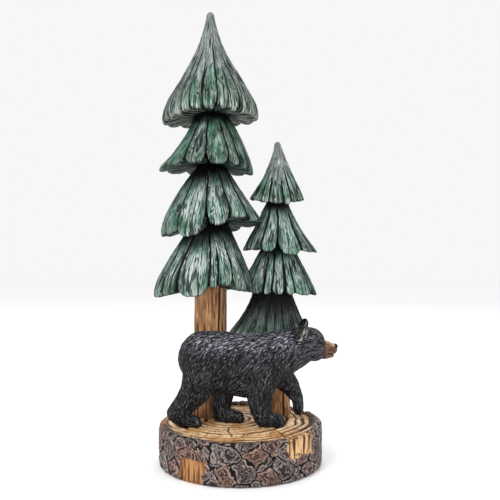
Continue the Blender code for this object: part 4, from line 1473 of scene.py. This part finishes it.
# %% The bear: ears
def egg(name, middle, radii, tilt, hollow_way, material, hollow=0.0, columns=48, rows=28):
    """A closed egg, tilted in degrees about the three axes; its half that faces hollow_way may be a bowl."""
    up = np.radians(np.linspace(0, 180, rows + 2)[1:-1])[:, None]
    turn = np.linspace(0, 2 * np.pi, columns, endpoint=False)[None, :]
    ball = np.stack(
        [np.sin(up) * np.cos(turn), np.sin(up) * np.sin(turn), np.cos(up) * np.ones_like(turn)], -1
    )
    way = np.array(Vector(hollow_way).normalized())
    facing = ball @ way
    sunk = np.where(facing > 0, facing * (1 + hollow * smoothstep(0.15, 0.6, facing)), 0)
    ball = ball - sunk[..., None] * way
    poles = [np.array((0, 0, 1.0)), np.array((0, 0, -1.0))]
    about_x, about_y, about_z = (
        Matrix.Rotation(math.radians(degrees), 3, axis) for degrees, axis in zip(tilt, "XYZ")
    )
    turned = np.array(about_z @ about_y @ about_x)
    centre = np.array(BEAR_CORNER) + np.array(middle) * BEAR_LENGTH

    def place(points):
        return (points * np.array(radii) * BEAR_LENGTH) @ turned.T + centre

    bowl = smoothstep(0.2, 0.5, facing)
    ahead = ball[..., 0] * np.ones_like(bowl)
    piece = skin(name, place(ball), place(poles[0]), place(poles[1]), {"bowl": bowl, "ahead": ahead})
    piece.data.materials.append(material)
    return piece


def ear_coats(bench, place):
    bowl, ahead = layer(bench, "bowl"), layer(bench, "ahead")
    fur = bench.noise(place.scaled((1.0, 1.0, 0.35)), 1000.0, 3.0)
    rim = bench.mix(fur.between(0.44, 0.56) * ahead.between(-0.5, 0.5), seen(26, 26, 29), seen(178, 178, 186))
    inner = bench.mix(fur.between(0.50, 0.62), seen(8, 8, 9), seen(60, 60, 58))
    streak = ahead.between(0.10, 0.30) * ahead.between(0.72, 0.50) * fur.between(0.40, 0.54)
    lit = bench.mix(streak, inner, seen(132, 131, 124))
    return bench.mix(bowl, rim, lit), 0.5 + bowl * 0.1, fur


EAR_BLACK = layered("ear_black", 0.5, ear_coats)
# Name, middle and radii in shares of the length, tilt in degrees about x, y and z, and how deep the bowl is.
EARS = (
    ("ear_near", (0.759, -0.097, 0.582), (0.038, 0.026, 0.050), (-14, 24, -14), 0.35),
    ("ear_far", (0.788, 0.052, 0.614), (0.030, 0.018, 0.048), (6, 18, 0), 0.9),
)
for name, middle, radii, tilt, hollow in EARS:
    settle(egg(name, middle, radii, tilt, (0.1, -1.0, 0.0), EAR_BLACK, hollow))

# %% [markdown]
# ## The bear: eyes
#
# The eyes are glossy beads, sunk in their sockets. How far out each sits is read from the finished fur,
# so that a third of the bead shows whatever the carving did to the skin there.

# %% The bear: eyes
def eye_coats(bench, place):
    cloud = bench.noise(place, 800.0, 2.0)
    return bench.mix(cloud, seen(8, 8, 9), seen(22, 18, 16)), 0.12 + cloud * 0.05, None


EYE_BLACK = layered("eye_black", 0.12, eye_coats, coat=0.6, shine=0.6)
EYE_PLACE = (0.884, 0.531)
EYE_RADIUS = 0.0105
skin_spots = in_shares(points_of(bear.data)[0])
beside = np.hypot(skin_spots[:, 0] - EYE_PLACE[0], skin_spots[:, 2] - EYE_PLACE[1]) < 0.008
for name, side in (("eye_near", -1), ("eye_far", 1)):
    depth = side * (np.max(side * skin_spots[beside, 1]) - EYE_RADIUS * 0.35)
    place = (EYE_PLACE[0], depth, EYE_PLACE[1])
    bead = egg(name, place, (EYE_RADIUS,) * 3, (0, 0, 0), (1, 0, 0), EYE_BLACK)
    settle(bead)
